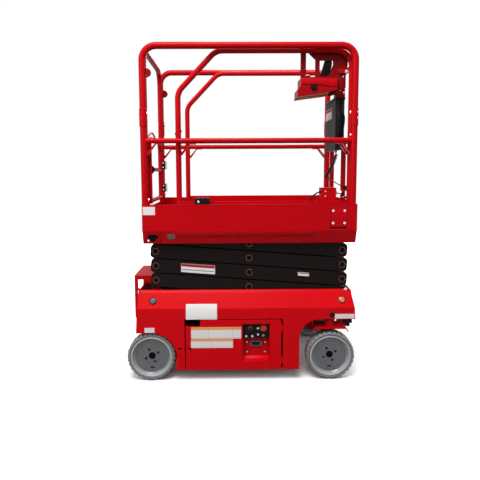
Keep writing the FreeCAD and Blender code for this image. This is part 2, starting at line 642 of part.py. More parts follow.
def rim(first_hole):
    outer = "rim_diameter/2"
    lip = "rim_diameter/2 - rim_lip"
    face = "rim_inset + dish_depth"
    back = "rim_inset + dish_depth + dish_plate"
    bore = "axle_radius + running_gap"
    ring = revolved((
        (bore, face), (f"{lip} - rim_taper", face), (lip, f"{face} - rim_slope"), (lip, "rim_inset"),
        (outer, "rim_inset"),
        (outer, "tyre_width - rim_inset"), (lip, "tyre_width - rim_inset"), (lip, back),
        ("hub_radius", back), ("hub_radius", f"{back} + hub_length"), (bore, f"{back} + hub_length"),
    ))
    holes = []
    for index in range(4):
        angle = f"{first_hole} + {90 * index}"
        circle = "axle_radius + bolt_reach"
        holes.append(rod("y", "rim_inset", f"{back} + swing_gap", "bolt_hole",
                         x=f"({circle})*cos({angle})", z=f"({circle})*sin({angle})"))
    return cut(ring, holes)


def wheels():
    # A far wheel is turned about, so its holes start elsewhere to lie in line with the near wheel's.
    first_holes = {NEAR: "bolt_angle", FAR: "90 - bolt_angle"}
    for end, place in (("rear", "-wheelbase/2"), ("front", "wheelbase/2")):
        for name, side in SIDES:
            for kind, piece in (("tyre", tyre()), ("rim", rim(first_holes[side]))):
                piece.Placement = FreeCAD.Placement(FreeCAD.Vector(), wheel_face(side))
                piece.setExpression("Placement.Base.x", bound(place))
                piece.setExpression("Placement.Base.y", bound(f"{side}*(body_width/2 - tyre_inset)"))
                piece.setExpression("Placement.Base.z", bound("tyre_diameter/2"))
                node(f"{kind}_{end}_{name}", piece)


# Chassis

def side_cover(side):
    outer = "body_width/2"
    brow = "body_width/2 - shoulder_in"
    profile = [
        (outer, "belly"), (outer, "shoulder_low"), (brow, "shoulder_high"), ("well_half + panel", "cover_top"),
        ("well_half", "cover_top"), ("well_half", "cover_top - panel"),
        (f"{brow} - panel", "shoulder_high - panel"), (f"{outer} - panel", "shoulder_low - panel/2"),
        (f"{outer} - panel", "belly"),
    ]
    skin = slab("x", [(f"{side}*({across})", up) for across, up in profile], "-cover_rear", "cover_front")
    silhouette = [
        ("-cover_rear", "rear_skirt"), ("-cover_rear + cover_slope/3", "shoulder_low"),
        ("-cover_rear + cover_slope*2/3", "shoulder_high"), ("-cover_rear + cover_slope", "cover_top"),
        ("cover_front - cover_rake", "cover_top"), ("cover_front - cover_rake*2/5", "shoulder_high - panel"),
        ("cover_front - cover_rake/10", "shoulder_low"), ("cover_front", "front_skirt"),
        ("arch_rear_edge", "front_skirt"), ("arch_rear_edge", "belly"), ("bay_front", "belly"),
        ("bay_front", "bay_top"), ("-bay_rear", "bay_top"), ("-bay_rear", "belly"), ("-post_rear", "belly"),
        ("-post_rear", "tyre_diameter/2"), ("-wheelbase/2", "tyre_diameter/2"), ("-wheelbase/2", "rear_skirt"),
    ]
    low, high = span(side, "well_half - panel", "body_width/2 + panel")
    shape = slab("y", silhouette, low, high, round_at=(8,), radius="arch_bend")
    arch = rod("y", low, high, "arch_radius", x="-wheelbase/2", z="tyre_diameter/2")
    return cut(common(skin, shape), [arch])


def end_plate(low, high, bottom):
    """A plate across the chassis that follows the covers' shoulders from inside."""
    side = "body_width/2 - panel"
    brow = "body_width/2 - shoulder_in - panel"
    half = [(side, bottom), (side, "shoulder_low - panel/2"), (brow, "shoulder_high - panel")]
    flat = [("well_half", "cover_top - panel"), ("-(well_half)", "cover_top - panel")]
    mirrored = [(f"-({across})", up) for across, up in reversed(half)]
    return slab("x", half + flat + mirrored, low, high)


def chassis_deck():
    well = "well_half"
    length = ("-well_rear", "well_front")
    floor = block(length, (f"-{well}", well), ("under_floor", "well_floor"))
    walls = [block(length, span(side, f"{well} - plate", well), ("well_floor", "cover_top"))
             for name, side in SIDES]
    ends = [end_plate("-well_rear - plate", "-well_rear", "tail_top"),
            end_plate("well_front", "well_front + plate", "front_skirt")]
    brackets, pins, tracks = [], [], []
    for name, side in SIDES:
        foot = ("-pin_rear - lug_radius", "-pin_rear + lug_radius")
        top = "cover_top + panel"
        inner = ("inner_face - swing_gap - bracket", "inner_face - swing_gap")
        outer = ("inner_face + arm_wide + swing_gap", "inner_face + arm_wide + swing_gap + bracket")
        for face in (inner, outer):
            ear = [(foot[0], "well_floor"), (foot[1], "well_floor"), (foot[1], top), (foot[0], top)]
            brackets.append(slab("y", ear, *span(side, *face), round_at=(2, 3), radius="bracket_corner"))
        pins.append(rod("y", *span(side, inner[0], outer[1]), "pin_radius", x="-pin_rear", z="pin_height"))
        tracks.append(block(("track_rear", "track_front"), span(side, "inner_face", "inner_face + arm_wide"),
                            ("well_floor", "pin_height - roller_radius - running_gap")))
    return fuse([floor] + walls + ends + brackets + pins + tracks)


def chassis_spine():
    half = "body_width/2 - door_skin - door_hem - swing_gap"
    edge = "body_width/2 - panel"
    floor = block(("-post_rear", "arch_rear_edge"), (f"-({half})", half), ("belly", "belly + plate"))
    right = [(edge, "belly + plate"), (edge, "shoulder_low - panel/2"), ("well_half", "under_floor")]
    left = [(f"-({across})", up) for across, up in reversed(right)]
    bulkheads = [slab("x", right + left, low, f"{low} + plate")
                 for low in ("-post_rear", "arch_rear_edge - plate")]
    tail_rear = "-well_rear - plate"
    webs, tail = [], []
    for name, side in SIDES:
        webs.append(block(("-post_rear + plate", "arch_rear_edge - plate"),
                          span(side, "spine_half - plate", "spine_half"), ("belly + plate", "under_floor")))
        cheek = span(side, "tail_half - plate", "tail_half")
        tail.append(block((tail_rear, "-post_rear"), cheek, ("tail_belly", "tail_top")))
        tail.append(block(("-well_rear", "-post_rear"), cheek, ("tail_top", "under_floor")))
    width = ("-tail_half", "tail_half")
    tail.append(block((tail_rear, "-post_rear"), width, ("tail_belly - plate", "tail_belly")))
    tail.append(block((tail_rear, "-well_rear"), width, ("tail_belly", "tail_top")))
    body = fuse([floor] + bulkheads + webs + tail)
    holes = [rod("x", f"{tail_rear} - plate", "-well_rear + plate", "lashing_hole",
                 y=f"{side}*(tail_half - lashing_place)", z="tail_belly + lashing_place")
             for name, side in SIDES]
    return cut(body, holes)


def rear_axle():
    """Two stub axles, each on a mounting block that is bolted to the tail."""
    pieces = []
    for name, side in SIDES:
        pieces.append(block(("-wheelbase/2 - block_half", "-wheelbase/2 + block_half"),
                            span(side, "tail_half", "tail_half + block_depth"),
                            ("tyre_diameter/2 - block_low", "tyre_diameter/2 + block_high")))
        pieces.append(rod("y", *span(side, "tail_half", "axle_end"), "axle_radius", x="-wheelbase/2",
                          z="tyre_diameter/2"))
    return group([fuse(pieces[:2]), fuse(pieces[2:])])


def front_axle():
    """A cross beam under the deck with a housing for each steering pivot."""
    place = "wheelbase/2"
    beam = block((f"{place} - beam_half_length", f"{place} + beam_half_length"), ("-kingpin", "kingpin"),
                 ("beam_low", "under_floor"))
    housings = [rod("z", "boss_low", "under_floor", "boss_radius", x=place, y=f"{side}*kingpin")
                for name, side in SIDES]
    bores = [rod("z", "boss_low - plate", "under_floor - kingpin_cap", "kingpin_radius + running_gap",
                 x=place, y=f"{side}*kingpin") for name, side in SIDES]
    frame = "inner_face - frame_inset"
    plates = [block(("arch_rear_edge", "well_front"), span(side, frame, f"{frame} + plate"),
                    ("beam_low", "under_floor")) for name, side in SIDES]
    return cut(fuse([beam] + housings + plates), bores)


def rear_step():
    """A narrow step with two stiles behind the chassis; its side plates have hand slots."""
    rear, seat, foot = "-step_rear", "-well_rear + step_seat", "-well_rear - plate"
    stile = f"{rear} + stile_deep"
    pieces = [block((rear, seat), ("-step_half", "step_half"), ("step_top - plate", "step_top"))]
    slots = []
    for name, side in SIDES:
        cheek = span(side, "step_half - plate", "step_half")
        pieces.append(block((rear, seat), cheek, ("cover_top", "step_top - plate")))
        pieces.append(block((rear, foot), cheek, ("well_floor + step_root", "cover_top")))
        pieces.append(block((rear, stile), span(side, "step_half - stile_wide", "step_half"),
                            ("step_low", "step_top - plate")))
        pieces.append(block((stile, foot), cheek, ("step_low", "step_low + foot_tall")))
        through = span(side, "step_half - 2*plate", "step_half + plate")
        slots.append(block((f"{rear} + foot_bar", f"{foot} - slot_end"), through,
                           ("well_floor + step_root + slot_web", "step_top - slot_margin")))
    pieces.append(block((rear, stile), ("-step_half", "step_half"), ("step_low", "step_low + foot_bar")))
    return cut(fuse(pieces), slots)


def battery_pack():
    return block(("-post_rear + pack_room_rear", "arch_rear_edge - pack_room_front"),
                 span(FAR, "spine_half + pack_gap", "body_width/2 - pack_margin"),
                 ("belly + plate", "belly + plate + pack_height"))


def power_unit():
    rear = "-post_rear + pack_room_rear"
    return block((rear, f"{rear} + power_length"),
                 span(NEAR, "spine_half + pack_gap", "body_width/2 - door_skin - recess_depth - power_margin"),
                 ("belly + plate", "belly + plate + power_height"))


def side_lamps():
    """A lamp at the front and a plug at the rear of each shoulder, square to the slope."""
    lamps = []
    turn = 90 - value("atan(shoulder_in/shoulder_rise)")
    for name, side in SIDES:
        for place in ("cover_front - lamp_inset", "-cover_rear + plug_inset"):
            lamp = document.addObject("Part::Cylinder", "Lamp")
            lamp.setExpression("Radius", bound("lamp_radius"))
            lamp.setExpression("Height", bound("lamp_depth"))
            lean = FreeCAD.Rotation(FreeCAD.Vector(1, 0, 0), -side * turn)
            lamp.Placement = FreeCAD.Placement(FreeCAD.Vector(), lean)
            lamp.setExpression("Placement.Base.x", bound(place))
            lamp.setExpression("Placement.Base.y", bound(f"{side}*(body_width/2 - shoulder_in/2)"))
            lamp.setExpression("Placement.Base.z", bound("(shoulder_low + shoulder_high)/2"))
            lamps.append(lamp)
    return group(lamps)


def door(side):
    """A side door with a hem, hinged at its front edge."""
    rear = "-bay_rear + door_gap_rear"
    front = "bay_front - door_gap_front"
    top = "bay_top - door_gap_top"
    face = span(side, "body_width/2 - door_skin", "body_width/2")
    points = [(rear, "belly"), (front, "belly"), (front, top), (f"{rear} + notch_length", top),
              (f"{rear} + notch_length", f"{top} - notch_height"), (rear, f"{top} - notch_height")]
    leaf = slab("y", points, *face, round_at=(2,), radius="door_corner")
    hem = span(side, "body_width/2 - door_skin - door_hem", "body_width/2 - door_skin")
    edges = [block((rear, f"{rear} + door_skin"), hem, ("belly", f"{top} - notch_height")),
             block((rear, f"{front} - door_hem"), hem, ("belly", "belly + door_skin")),
             block((f"{rear} + notch_length", f"{front} - door_hem"), hem, (f"{top} - door_skin", top))]
    hinge = "bay_front - running_gap - hinge_radius"
    hinges = []
    for low in ("belly + hinge_offset", "bay_top - hinge_offset - hinge_length"):
        high = f"{low} + hinge_length"
        hinges.append(rod("z", low, high, "hinge_radius", x=hinge, y=f"{side}*(body_width/2 - hinge_radius)"))
        hinges.append(block((f"{front} - door_skin", hinge), face, (low, high)))
    solid = fuse([leaf] + edges + hinges)
    if side == FAR:
        return solid
    window = block(("recess_rear", "recess_front"), span(side, "body_width/2 - panel", "body_width/2 + panel"),
                   ("recess_low", "recess_high"))
    return cut(solid, [window])


def ground_panel():
    """A recessed tray behind the near door, with the control panel in its upper half."""
    rim = "body_width/2 - door_skin"
    wall = "recess_wall"
    floor = f"{rim} - recess_depth + {wall}"
    length = ("recess_rear", "recess_front")
    shell = block((f"recess_rear - {wall}", f"recess_front + {wall}"), span(NEAR, f"{rim} - recess_depth", rim),
                  (f"recess_low - {wall}", f"recess_high + {wall}"))
    hollow = block(length, span(NEAR, floor, "body_width/2"), ("recess_low", "recess_high"))
    front = "body_width/2 - panel_depth"
    face = block(length, span(NEAR, floor, front), ("panel_low", "recess_high"))
    height = "recess_high - dial_line"
    stop = rod("y", *span(NEAR, front, f"{front} + button_depth"), "stop_radius",
               x="recess_front - stop_place", z=height)
    key = rod("y", *span(NEAR, front, f"{front} + key_depth"), "key_radius",
              x="recess_rear + key_place", z=height)
    return fuse([cut(shell, [hollow]), face, stop, key])


# Steering

def knuckle(side):
    """A plate over the wheel on a kingpin, with a leg, hub motor and stub axle inside the wheel."""
    x, y, top = "wheelbase/2", f"{side}*kingpin", "fender_top"
    plate = block((f"{x} - fender_half", f"{x} + fender_half"), span(side, "leg_inner", "kingpin + fender_side"),
                  ("fender_height", top))
    lips = []
    low = "fender_height - fender_lip"
    for sign in (-1, 1):
        root, tip = f"{x} + ({sign})*fender_half", f"{x} + ({sign})*(fender_half + fender_lip)"
        lip = [(root, top), (tip, f"{low} + lip_sheet"), (f"{tip} - ({sign})*lip_sheet", low),
               (root, "fender_height")]
        lips.append(slab("y", lip, *span(side, "kingpin - fender_side", "kingpin + fender_side")))
    leg = block((f"{x} - leg_half", f"{x} + leg_half"), span(side, "leg_inner", "leg_outer"),
                ("tyre_diameter/2 - leg_half", "fender_height"))
    motor = rod("y", *span(side, "leg_inner - motor_length", "leg_inner"), "motor_radius",
                x=x, z="tyre_diameter/2")
    axle = rod("y", *span(side, "leg_outer", "axle_end"), "axle_radius", x=x, z="tyre_diameter/2")
    lever = block((f"{x} - lever_half", f"{x} + lever_length + lever_half"),
                  (f"{y} - lever_half", f"{y} + lever_half"), (top, f"{top} + lever_plate"))
    collar = rod("z", top, "boss_low - running_gap", "boss_radius - collar_step", x=x, y=y)
    pivot = rod("z", top, "under_floor - kingpin_cap - running_gap", "kingpin_radius", x=x, y=y)
    pin = rod("z", f"{top} + lever_plate", f"{top} + lever_plate + tie_pin_tall", "tie_pin",
              x=f"{x} + lever_length", y=y)
    return fuse([plate, leg, motor, axle, lever, collar, pivot, pin] + lips)


def tie_rod():
    low = "fender_top + lever_plate + running_gap"
    high = f"{low} + tie_eye_tall"
    x = "wheelbase/2 + lever_length"
    end = "kingpin - tie_eye*2/3"
    bar = rod("y", f"-({end})", end, "tie_radius", x=x, z=f"{low} + tie_eye_tall/2")
    eyes = [rod("z", low, high, "tie_eye", x=x, y=f"{side}*kingpin") for name, side in SIDES]
    bores = [rod("z", f"{low} - plate", f"{high} + plate", "tie_pin + running_gap", x=x, y=f"{side}*kingpin")
             for name, side in SIDES]
    return cut(fuse([bar] + eyes), bores)


# Scissor arms. Each is drawn level along X from its lower pin, then tilted.

def arm_bars(direction, face):
    """The near and far bar of one pair of arms; direction is 1 towards +X or -1 towards -X."""
    ends = sorted(("-arm_overhang", "arm_length + arm_overhang"), key=lambda text: direction * value(text))
    low, high = (f"{direction}*({text})" for text in ends)
    points = [(low, "-arm_depth/2"), (high, "-arm_depth/2"), (high, "arm_depth/2"), (low, "arm_depth/2")]
    return [slab("y", points, *span(side, face, f"{face} + arm_wide"), round_at=(0, 1, 2, 3),
                 radius="arm_corner") for name, side in SIDES]


def tilted(item, level, sign, foot):
    """Places a level arm at its folded angle; sign is 1 where it rises towards the front."""
    item.Placement = FreeCAD.Placement(FreeCAD.Vector(), FreeCAD.Rotation(FreeCAD.Vector(0, -sign, 0), 1))
    item.setExpression("Placement.Rotation.Angle", bound("asin(level_pitch/arm_length)"))
    item.setExpression("Placement.Base.x", bound(foot))
    item.setExpression("Placement.Base.z", bound(f"pin_height + {level}*level_pitch"))
    return item


def inner_arms(level):
    """Two bars joined by cross tubes, bored at both ends and the middle."""
    pieces = arm_bars(1, "inner_face")
    places = ["tube_offset", "arm_length - tube_offset"]
    pieces += [rod("y", "-inner_face", "inner_face", "tube_radius", x=place, z="0") for place in places]
    bored = ["0", "arm_length/2", "arm_length"]
    if level == 3:
        # The top pair carries the rollers that run under the platform.
        bored.pop()
        ends = "outer_face + arm_wide"
        pieces.append(rod("y", f"-({ends})", ends, "pin_radius", x="arm_length", z="0"))
        for name, side in SIDES:
            pieces.append(rod("y", *span(side, "outer_face + roller_gap", f"{ends} - roller_gap"),
                              "roller_radius", x="arm_length", z="0"))
    if level == 1:
        # Lugs reach forward from the lower cross tube to the lift cylinder's rod.
        for name, side in SIDES:
            end = "eye_half + lug_gap + lug_plate"
            lug = [("tube_offset", "-tube_radius"), ("eye_reach + eye_half", "-eye_half"),
                   ("eye_reach + eye_half", "eye_half"), ("tube_offset", "tube_radius")]
            pieces.append(slab("y", lug, *span(side, "eye_half + lug_gap", end)))
            pieces.append(rod("y", *span(side, "eye_half + lug_gap/4", end), "pin_radius - eye_trim",
                              x="eye_reach", z="0"))
    through = ("inner_face - arm_gap", "inner_face + arm_wide + arm_gap")
    tools = [rod("y", *span(side, *through), "pin_radius + bore_gap", x=place, z="0")
             for name, side in SIDES for place in bored]
    item = cut(fuse(pieces), tools)
    return tilted(item, level, 1, "-pin_rear")


def outer_arms(level):
    """Two bars joined by shafts through the inner arms, with stub pins at the middle."""
    pieces = arm_bars(-1, "outer_face")
    ends = "outer_face + arm_wide + pin_proud"
    for place in ("0", "-arm_length"):
        pieces.append(rod("y", f"-({ends})", ends, "pin_radius", x=place, z="0"))
    for name, side in SIDES:
        pieces.append(rod("y", *span(side, "inner_face", ends), "pin_radius", x="-arm_length/2", z="0"))
        for place in ("0", "-arm_length/2", "-arm_length"):
            pieces.append(rod("y", *span(side, "outer_face + arm_wide", f"{ends} - pin_proud*2/5"), "boss_ring",
                              x=place, z="0"))
        if level == 0:
            pieces.append(rod("y", *span(side, "inner_face + roller_gap", "inner_face + arm_wide - roller_gap"),
                              "roller_radius", x="0", z="0"))
    item = fuse(pieces)
    return tilted(item, level, -1, "-pin_rear + arm_length*cos(asin(level_pitch/arm_length))")


# Lift cylinder, from the lowest front shaft to the lugs on the second pair of inner arms

def cylinder_line():
    """Angle above level of the cylinder, which leans to the rear, and the distance between its pins."""
    fold = math.asin(value("level_pitch") / value("arm_length"))
    run = (value("arm_length") - value("eye_reach")) * math.cos(fold)
    rise = (value("arm_length") + value("eye_reach")) * math.sin(fold)
    return math.degrees(math.atan2(rise, run)), math.hypot(run, rise)


def leaned(item):
    angle, reach = cylinder_line()
    item.Placement = FreeCAD.Placement(FreeCAD.Vector(), FreeCAD.Rotation(FreeCAD.Vector(0, 1, 0), angle))
    item.setExpression("Placement.Base.x", bound("-pin_rear + arm_length*cos(asin(level_pitch/arm_length))"))
    item.setExpression("Placement.Base.z", bound("pin_height"))
    return item


def lift_barrel():
    eye = rod("y", "-eye_half", "eye_half", "eye_radius", x="0", z="0")
    neck = block(("-barrel_foot - eye_trim", "-eye_radius/3"), ("-eye_half", "eye_half"),
                 ("-tube_radius", "tube_radius"))
    barrel = rod("x", "-barrel_length", "-barrel_foot", "barrel_radius", y="0", z="0")
    bore = rod("x", "-barrel_length - plate", "-bore_foot", "rod_radius + running_gap", y="0", z="0")
    pin = rod("y", "-eye_half - plate", "eye_half + plate", "pin_radius + bore_gap", x="0", z="0")
    return leaned(cut(fuse([eye, neck, barrel]), [bore, pin]))


def lift_rod():
    angle, reach = cylinder_line()
    stem = rod("x", f"-{reach} + eye_radius/3", "-rod_foot", "rod_radius", y="0", z="0")
    eye = rod("y", "-eye_half", "eye_half", "eye_radius - eye_trim", x=f"-{reach}", z="0")
    bore = rod("y", "-eye_half - plate", "eye_half + plate", "pin_radius - eye_trim + bore_gap",
               x=f"-{reach}", z="0")
    return leaned(cut(fuse([stem, eye]), [bore]))


# Platform

def platform_tub():
    sheet = "panel"
    toes = []
    for name, side in SIDES:
        profile = [("tub_half", "toe_low"), ("tub_half", "toe_high"), (f"tub_half - {sheet}", "toe_high"),
                   (f"tub_half - {sheet}", f"toe_low + {sheet}/4"),
                   (f"tub_half - skirt_in - {sheet}", "skirt_low"), ("tub_half - skirt_in", "skirt_low")]
        toes.append(slab("x", [(f"{side}*({across})", up) for across, up in profile], "-tub_rear", "tub_front"))
    inside = f"tub_half - {sheet}"
    floor = block(("-tub_rear", "tub_front"), (f"-({inside})", inside), ("deck_top - plate", "deck_top"))
    half = [(f"tub_half - {sheet} - skirt_in", "skirt_low"), (inside, "toe_low"), (inside, "deck_top - plate")]
    across = half + [(f"-({y})", z) for y, z in reversed(half)]
    ends = [slab("x", across, "-tub_rear", f"-tub_rear + {sheet}"),
            slab("x", across, f"tub_front - {sheet}", "tub_front")]
    doorway = "header_half - header_radius - running_gap"
    rear_toe = block(("-tub_rear", f"-tub_rear + {sheet}"), (f"-({doorway})", doorway),
                     ("deck_top", "rear_toe_high"))
    roller_top = "pin_top + roller_radius + running_gap"
    tracks, ears, bores = [], [], []
    for name, side in SIDES:
        tracks.append(block(("track_rear", "track_front"), span(side, "outer_face", "outer_face + arm_wide"),
                            (roller_top, "deck_top - plate")))
        ear = span(side, "inner_face + arm_wide - bracket", "inner_face + arm_wide")
        low = "pin_top - arm_overhang"
        foot = ("-pin_rear - lug_radius", "-pin_rear + lug_radius")
        points = [(foot[0], low), (foot[1], low), (foot[1], "deck_top - plate"), (foot[0], "deck_top - plate")]
        ears.append(slab("y", points, *ear, round_at=(0, 1), radius="bracket_corner"))
        bores.append(rod("y", *span(side, "inner_face", "outer_face"), "pin_radius + bore_gap", x="-pin_rear",
                         z="pin_top"))
    return cut(fuse(toes + [floor, rear_toe] + ends + tracks + ears), bores)


def main_rail(side):
    """An outer hoop with its middle rail and the sleeves where it folds."""
    y = f"{side}*rail_half"
    hoop = tube((("-rail_rear", y, "deck_top"), ("-rail_rear", y, "rail_top"), ("rail_front", y, "rail_top"),
                 ("rail_front", y, "deck_top")), "rail_radius", "rail_bend")
    middle = rod("x", "-rail_rear", "rail_front", "mid_radius", y=y, z="mid_height")
    sleeves = [rod("z", "sleeve_low", "sleeve_high", "sleeve_radius", x=x, y=y)
               for x in ("-rail_rear", "rail_front")]
    straps = braces(side, "rail_half", "rail_rear", "rail_front", "mid_radius", "rail_radius")
    return fuse([hoop, middle] + sleeves + straps)


def braces(side, row, rear, front, rail, post):
    """Flat straps from the posts up to the middle rail, one at each end."""
    straps = []
    low, high = span(side, f"{row} - brace_half", f"{row} + brace_half")
    for sign, place in ((1, f"-{rear}"), (-1, front)):
        foot = f"{place} + ({sign})*({post} - brace_sheet/6)"
        under, over = f"mid_height - {rail} - brace_sheet*2/3", f"mid_height - {rail} + brace_sheet/3"
        reaches = ("brace_sheet", "brace_knee", "brace_reach")
        bend, knee, tip = (f"{foot} + ({sign})*{reach}" for reach in reaches)
        points = [(foot, f"{under} - brace_foot"), (bend, f"{under} - brace_foot"), (knee, under),
                  (tip, under), (tip, over), (f"{knee} - ({sign})*brace_sheet/2", over),
                  (bend, f"{over} - brace_foot + brace_sheet*2"),
                  (foot, f"{over} - brace_foot + brace_sheet*3")]
        straps.append(slab("y", points, low, high))
    return straps


def rear_hoop():
    x = "-rail_rear"
    corners = ((x, "-header_half", "deck_top"), (x, "-header_half", "header_top"),
               (x, "header_half", "header_top"), (x, "header_half", "deck_top"))
    hoop = tube(corners, "header_radius", "header_bend")
    ties = [rod("y", *span(side, "header_half", "rail_half - rail_radius"), "tie_bar", x=x, z=z)
            for name, side in SIDES for z in ("mid_height - tie_bar_low", "header_top - tie_bar_high")]
    return fuse([hoop] + ties)


def gate():
    x = "-rail_rear"
    frame = tube(((x, "-gate_half", "gate_low"), (x, "-gate_half", "gate_high"), (x, "gate_half", "gate_high"),
                  (x, "gate_half", "gate_low")), "gate_radius", "gate_bend")
    bars = [rod("y", "-gate_half", "gate_half", "gate_radius - bar_trim", x=x, z=z)
            for z in ("gate_low", "gate_mid")]
    hinge = "header_half - header_radius - running_gap - gate_hinge"
    hinges, leaves = [], []
    for low in ("gate_low + gate_barrel_low", "gate_low + gate_barrel_high"):
        high = f"{low} + gate_barrel"
        hinges.append(rod("z", low, high, "gate_hinge", x=x, y=hinge))
        leaves.append(block((f"{x} - gate_leaf/2", f"{x} + gate_leaf/2"), ("gate_half", hinge), (low, high)))
    foot = "gate_mid - catch_low"
    catch = block((f"{x} - catch_half", f"{x} + catch_half"),
                  ("-header_half + header_radius + bar_trim", "-gate_half"), (foot, f"{foot} + catch_tall"))
    return fuse([frame, catch] + bars + hinges + leaves)


# Extension deck

def slide_deck():
    half = "slide_half"
    floor = block(("-slide_rear", "slide_front"), (f"-{half}", half), ("slide_top - slide_deck", "slide_top"))
    toes = [block(("-slide_rear", "slide_front"), span(side, f"{half} - slide_sheet", half),
                  ("slide_top", "slide_toe_high")) for name, side in SIDES]
    front = block(("slide_front - slide_sheet", "slide_front"), (f"-{half}", half),
                  ("slide_top", "slide_toe_high"))
    skids = [block(("-slide_rear", "slide_front - skid_short"),
                   span(side, f"{half} - skid_inset - skid_width", f"{half} - skid_inset"),
                   ("deck_top + running_gap", "slide_top - slide_deck")) for name, side in SIDES]
    return fuse([floor, front] + toes + skids)


def slide_rail(side):
    """An extension hoop whose rear post leans forward at the top."""
    y = f"{side}*hoop_half"
    hoop = tube((("-hoop_rear", y, "slide_top"), ("-hoop_rear", y, "slant_low"),
                 ("-hoop_rear + slant_run", y, "hoop_top"), ("hoop_front", y, "hoop_top"),
                 ("hoop_front", y, "slide_top")), "hoop_radius", "hoop_bend")
    middle = rod("x", "-hoop_rear", "hoop_front", "mid_radius - bar_trim/2", y=y, z="mid_height")
    straps = braces(side, "hoop_half", "hoop_rear", "hoop_front", "mid_radius", "hoop_radius")
    return fuse([hoop, middle] + straps)


def front_rail():
    x = "hoop_front"
    bars = [rod("y", "-hoop_half + hoop_radius", "hoop_half - hoop_radius", "hoop_radius - bar_trim", x=x, z=z)
            for z in ("mid_height", "hoop_top - hoop_bend")]
    stiles = [rod("z", "slide_top", "mid_height", "hoop_radius - bar_trim", x=x, y=f"{side}*stile_offset")
              for name, side in SIDES]
    return fuse(bars + stiles)


def control_hanger():
    """A plate with two windows, hooked over the near top rail."""
    low, high = span(NEAR, "station_face", "station_face + station_plate")
    rear, front, ledge = "station_rear", "plate_front", "station_front + clamp_place"
    top = "hoop_crown + hook_plate"
    points = [(rear, "box_top"), (ledge, "box_top"), (ledge, "box_top + clamp_rise"),
              (front, "box_top + clamp_rise"), (front, top), (rear, top)]
    plate = slab("y", points, low, high, round_at=(4,), radius="hoop_bend - hoop_radius - station_gap")
    hook = block((rear, "hoop_front - hoop_bend"), span(NEAR, "station_face", "hoop_half + hoop_radius"),
                 ("hoop_crown + running_gap", top))
    slot = [(f"{rear} + {along}", f"box_top + {up}") for along, up in (
        ("slot_rear", "slot_low"), ("slot_rear + slot_length", "slot_low"),
        ("slot_rear + slot_length", "slot_bend"), ("slot_rear + slot_cut", "slot_high"),
        ("slot_rear", "slot_high"))]
    window = [(f"{rear} + {along}", f"box_top + {up}") for along, up in (
        ("window_rear", "window_low"), ("window_rear + window_length - window_cut", "window_low"),
        ("window_rear + window_length", "window_bend"), ("window_rear + window_length", "window_high"),
        ("window_rear", "window_high"))]
    holes = [slab("y", hole, f"{low} - plate", f"{high} + plate") for hole in (slot, window)]
    return cut(fuse([plate, hook]), holes)


def control_box():
    """A wedge-shaped box under the hanger plate, with its joystick and a knob on its near side."""
    rear, nose, front = "station_rear", "station_rear - box_nose", "station_front"
    points = [(nose, "box_top - box_tall"), (f"{front} - box_flat", "box_top - box_knee"),
              (front, "box_top - box_front_tall"), (front, "box_top"), (rear, "box_top"),
              (rear, "box_top - box_brow"), (nose, "box_top - box_chin")]
    case = slab("y", points, *span(NEAR, "box_far", "box_near"))
    foot, height, across = f"{front} - stick_place", "box_top + stick_height", "box_near - stick_inset"
    grip = [(f"{foot} - stick_half", "box_top"), (f"{foot} + stick_half", "box_top"),
            (f"{foot} + stick_half + stick_lean", height), (f"{foot} - stick_half + stick_lean", height)]
    stick = slab("y", grip, *span(NEAR, f"{across} - stick_half", f"{across} + stick_half"))
    knob = rod("y", *span(NEAR, "box_near", "box_near + knob_depth"), "knob_radius", x=f"{rear} + knob_place",
               z="box_top - knob_drop")
    return fuse([case, stick, knob])


def manual_box():
    """The document box, held to the front rail by two clips."""
    body = block(("manual_rear", "manual_front"), ("-manual_near", "manual_far"), ("manual_low", "manual_high"))
    reach = ("manual_front", "manual_front + clip_length + bar_trim - running_gap")
    clips = [block(reach, (y, f"{y} + clip_width"), ("mid_height - clip_half", "mid_height + clip_half"))
             for y in ("-manual_near + clip_inset", "manual_far - clip_inset - clip_width")]
    return fuse([body] + clips)


def junction_box():
    """A box on the inside of the extension's near toe board."""
    face = "slide_half - slide_sheet"
    return block(("junction_front - junction_length", "junction_front"),
                 span(NEAR, f"{face} - junction_depth", face), ("junction_low", "junction_low + junction_tall"))


def cord_socket():
    """The control cord's socket, on the near front post."""
    post = "hoop_half - hoop_radius"
    return block(("hoop_front - socket_rear", "hoop_front + socket_front"),
                 span(NEAR, f"{post} - socket_depth", post), ("socket_low", "socket_low + socket_tall"))


def deck_latch():
    """The extension's lock, a small box on the inside of the near toe board."""
    rear, low = "-tub_rear + latch_place", "deck_top + latch_rise"
    face = "tub_half - panel"
    return block((rear, f"{rear} + latch_length"), span(NEAR, f"{face} - latch_depth", face),
                 (low, f"{low} + latch_tall"))


# The control cord's two routes are measured from this corner, near the front post and the document box's foot.
CORD_CORNER = ("hoop_front", "-hoop_half", "manual_low")
COIL_ROUTE = (
    # The curly part leaves the document box's bag and hangs down.
    (-34, 177, 0), (-34, 177, -32), (-50, 170, -82), (-73, 164, -130), (-94, 163, -156),
)
LEAD_ROUTE = (
    # The straight part goes back up to the socket by the front post.
    (-94, 163, -156), (-84, 141, -172), (-68, 113, -186), (-50, 83, -200), (-33, 57, -212), (-16, 32, -226),
)


# An arc takes this share of the shorter run beside it.
ARC_SHARE = 0.45


def cord(route, radius):
    """A tube through a route, its arcs as large as the runs beside them allow."""
    origin = FreeCAD.Vector(*[value(text) for text in CORD_CORNER])
    corners = [origin + FreeCAD.Vector(*point) for point in route]
    bends = []
    for before, corner, after in zip(corners, corners[1:], corners[2:]):
        shorter = min((corner - before).Length, (after - corner).Length)
        turn = math.pi - (before - corner).getAngle(after - corner)
        bends.append(ARC_SHARE * shorter / math.tan(turn / 2))
    print("cord radii", [round(bend) for bend in bends])
    return tube([tuple(corner) for corner in corners], radius, bends)


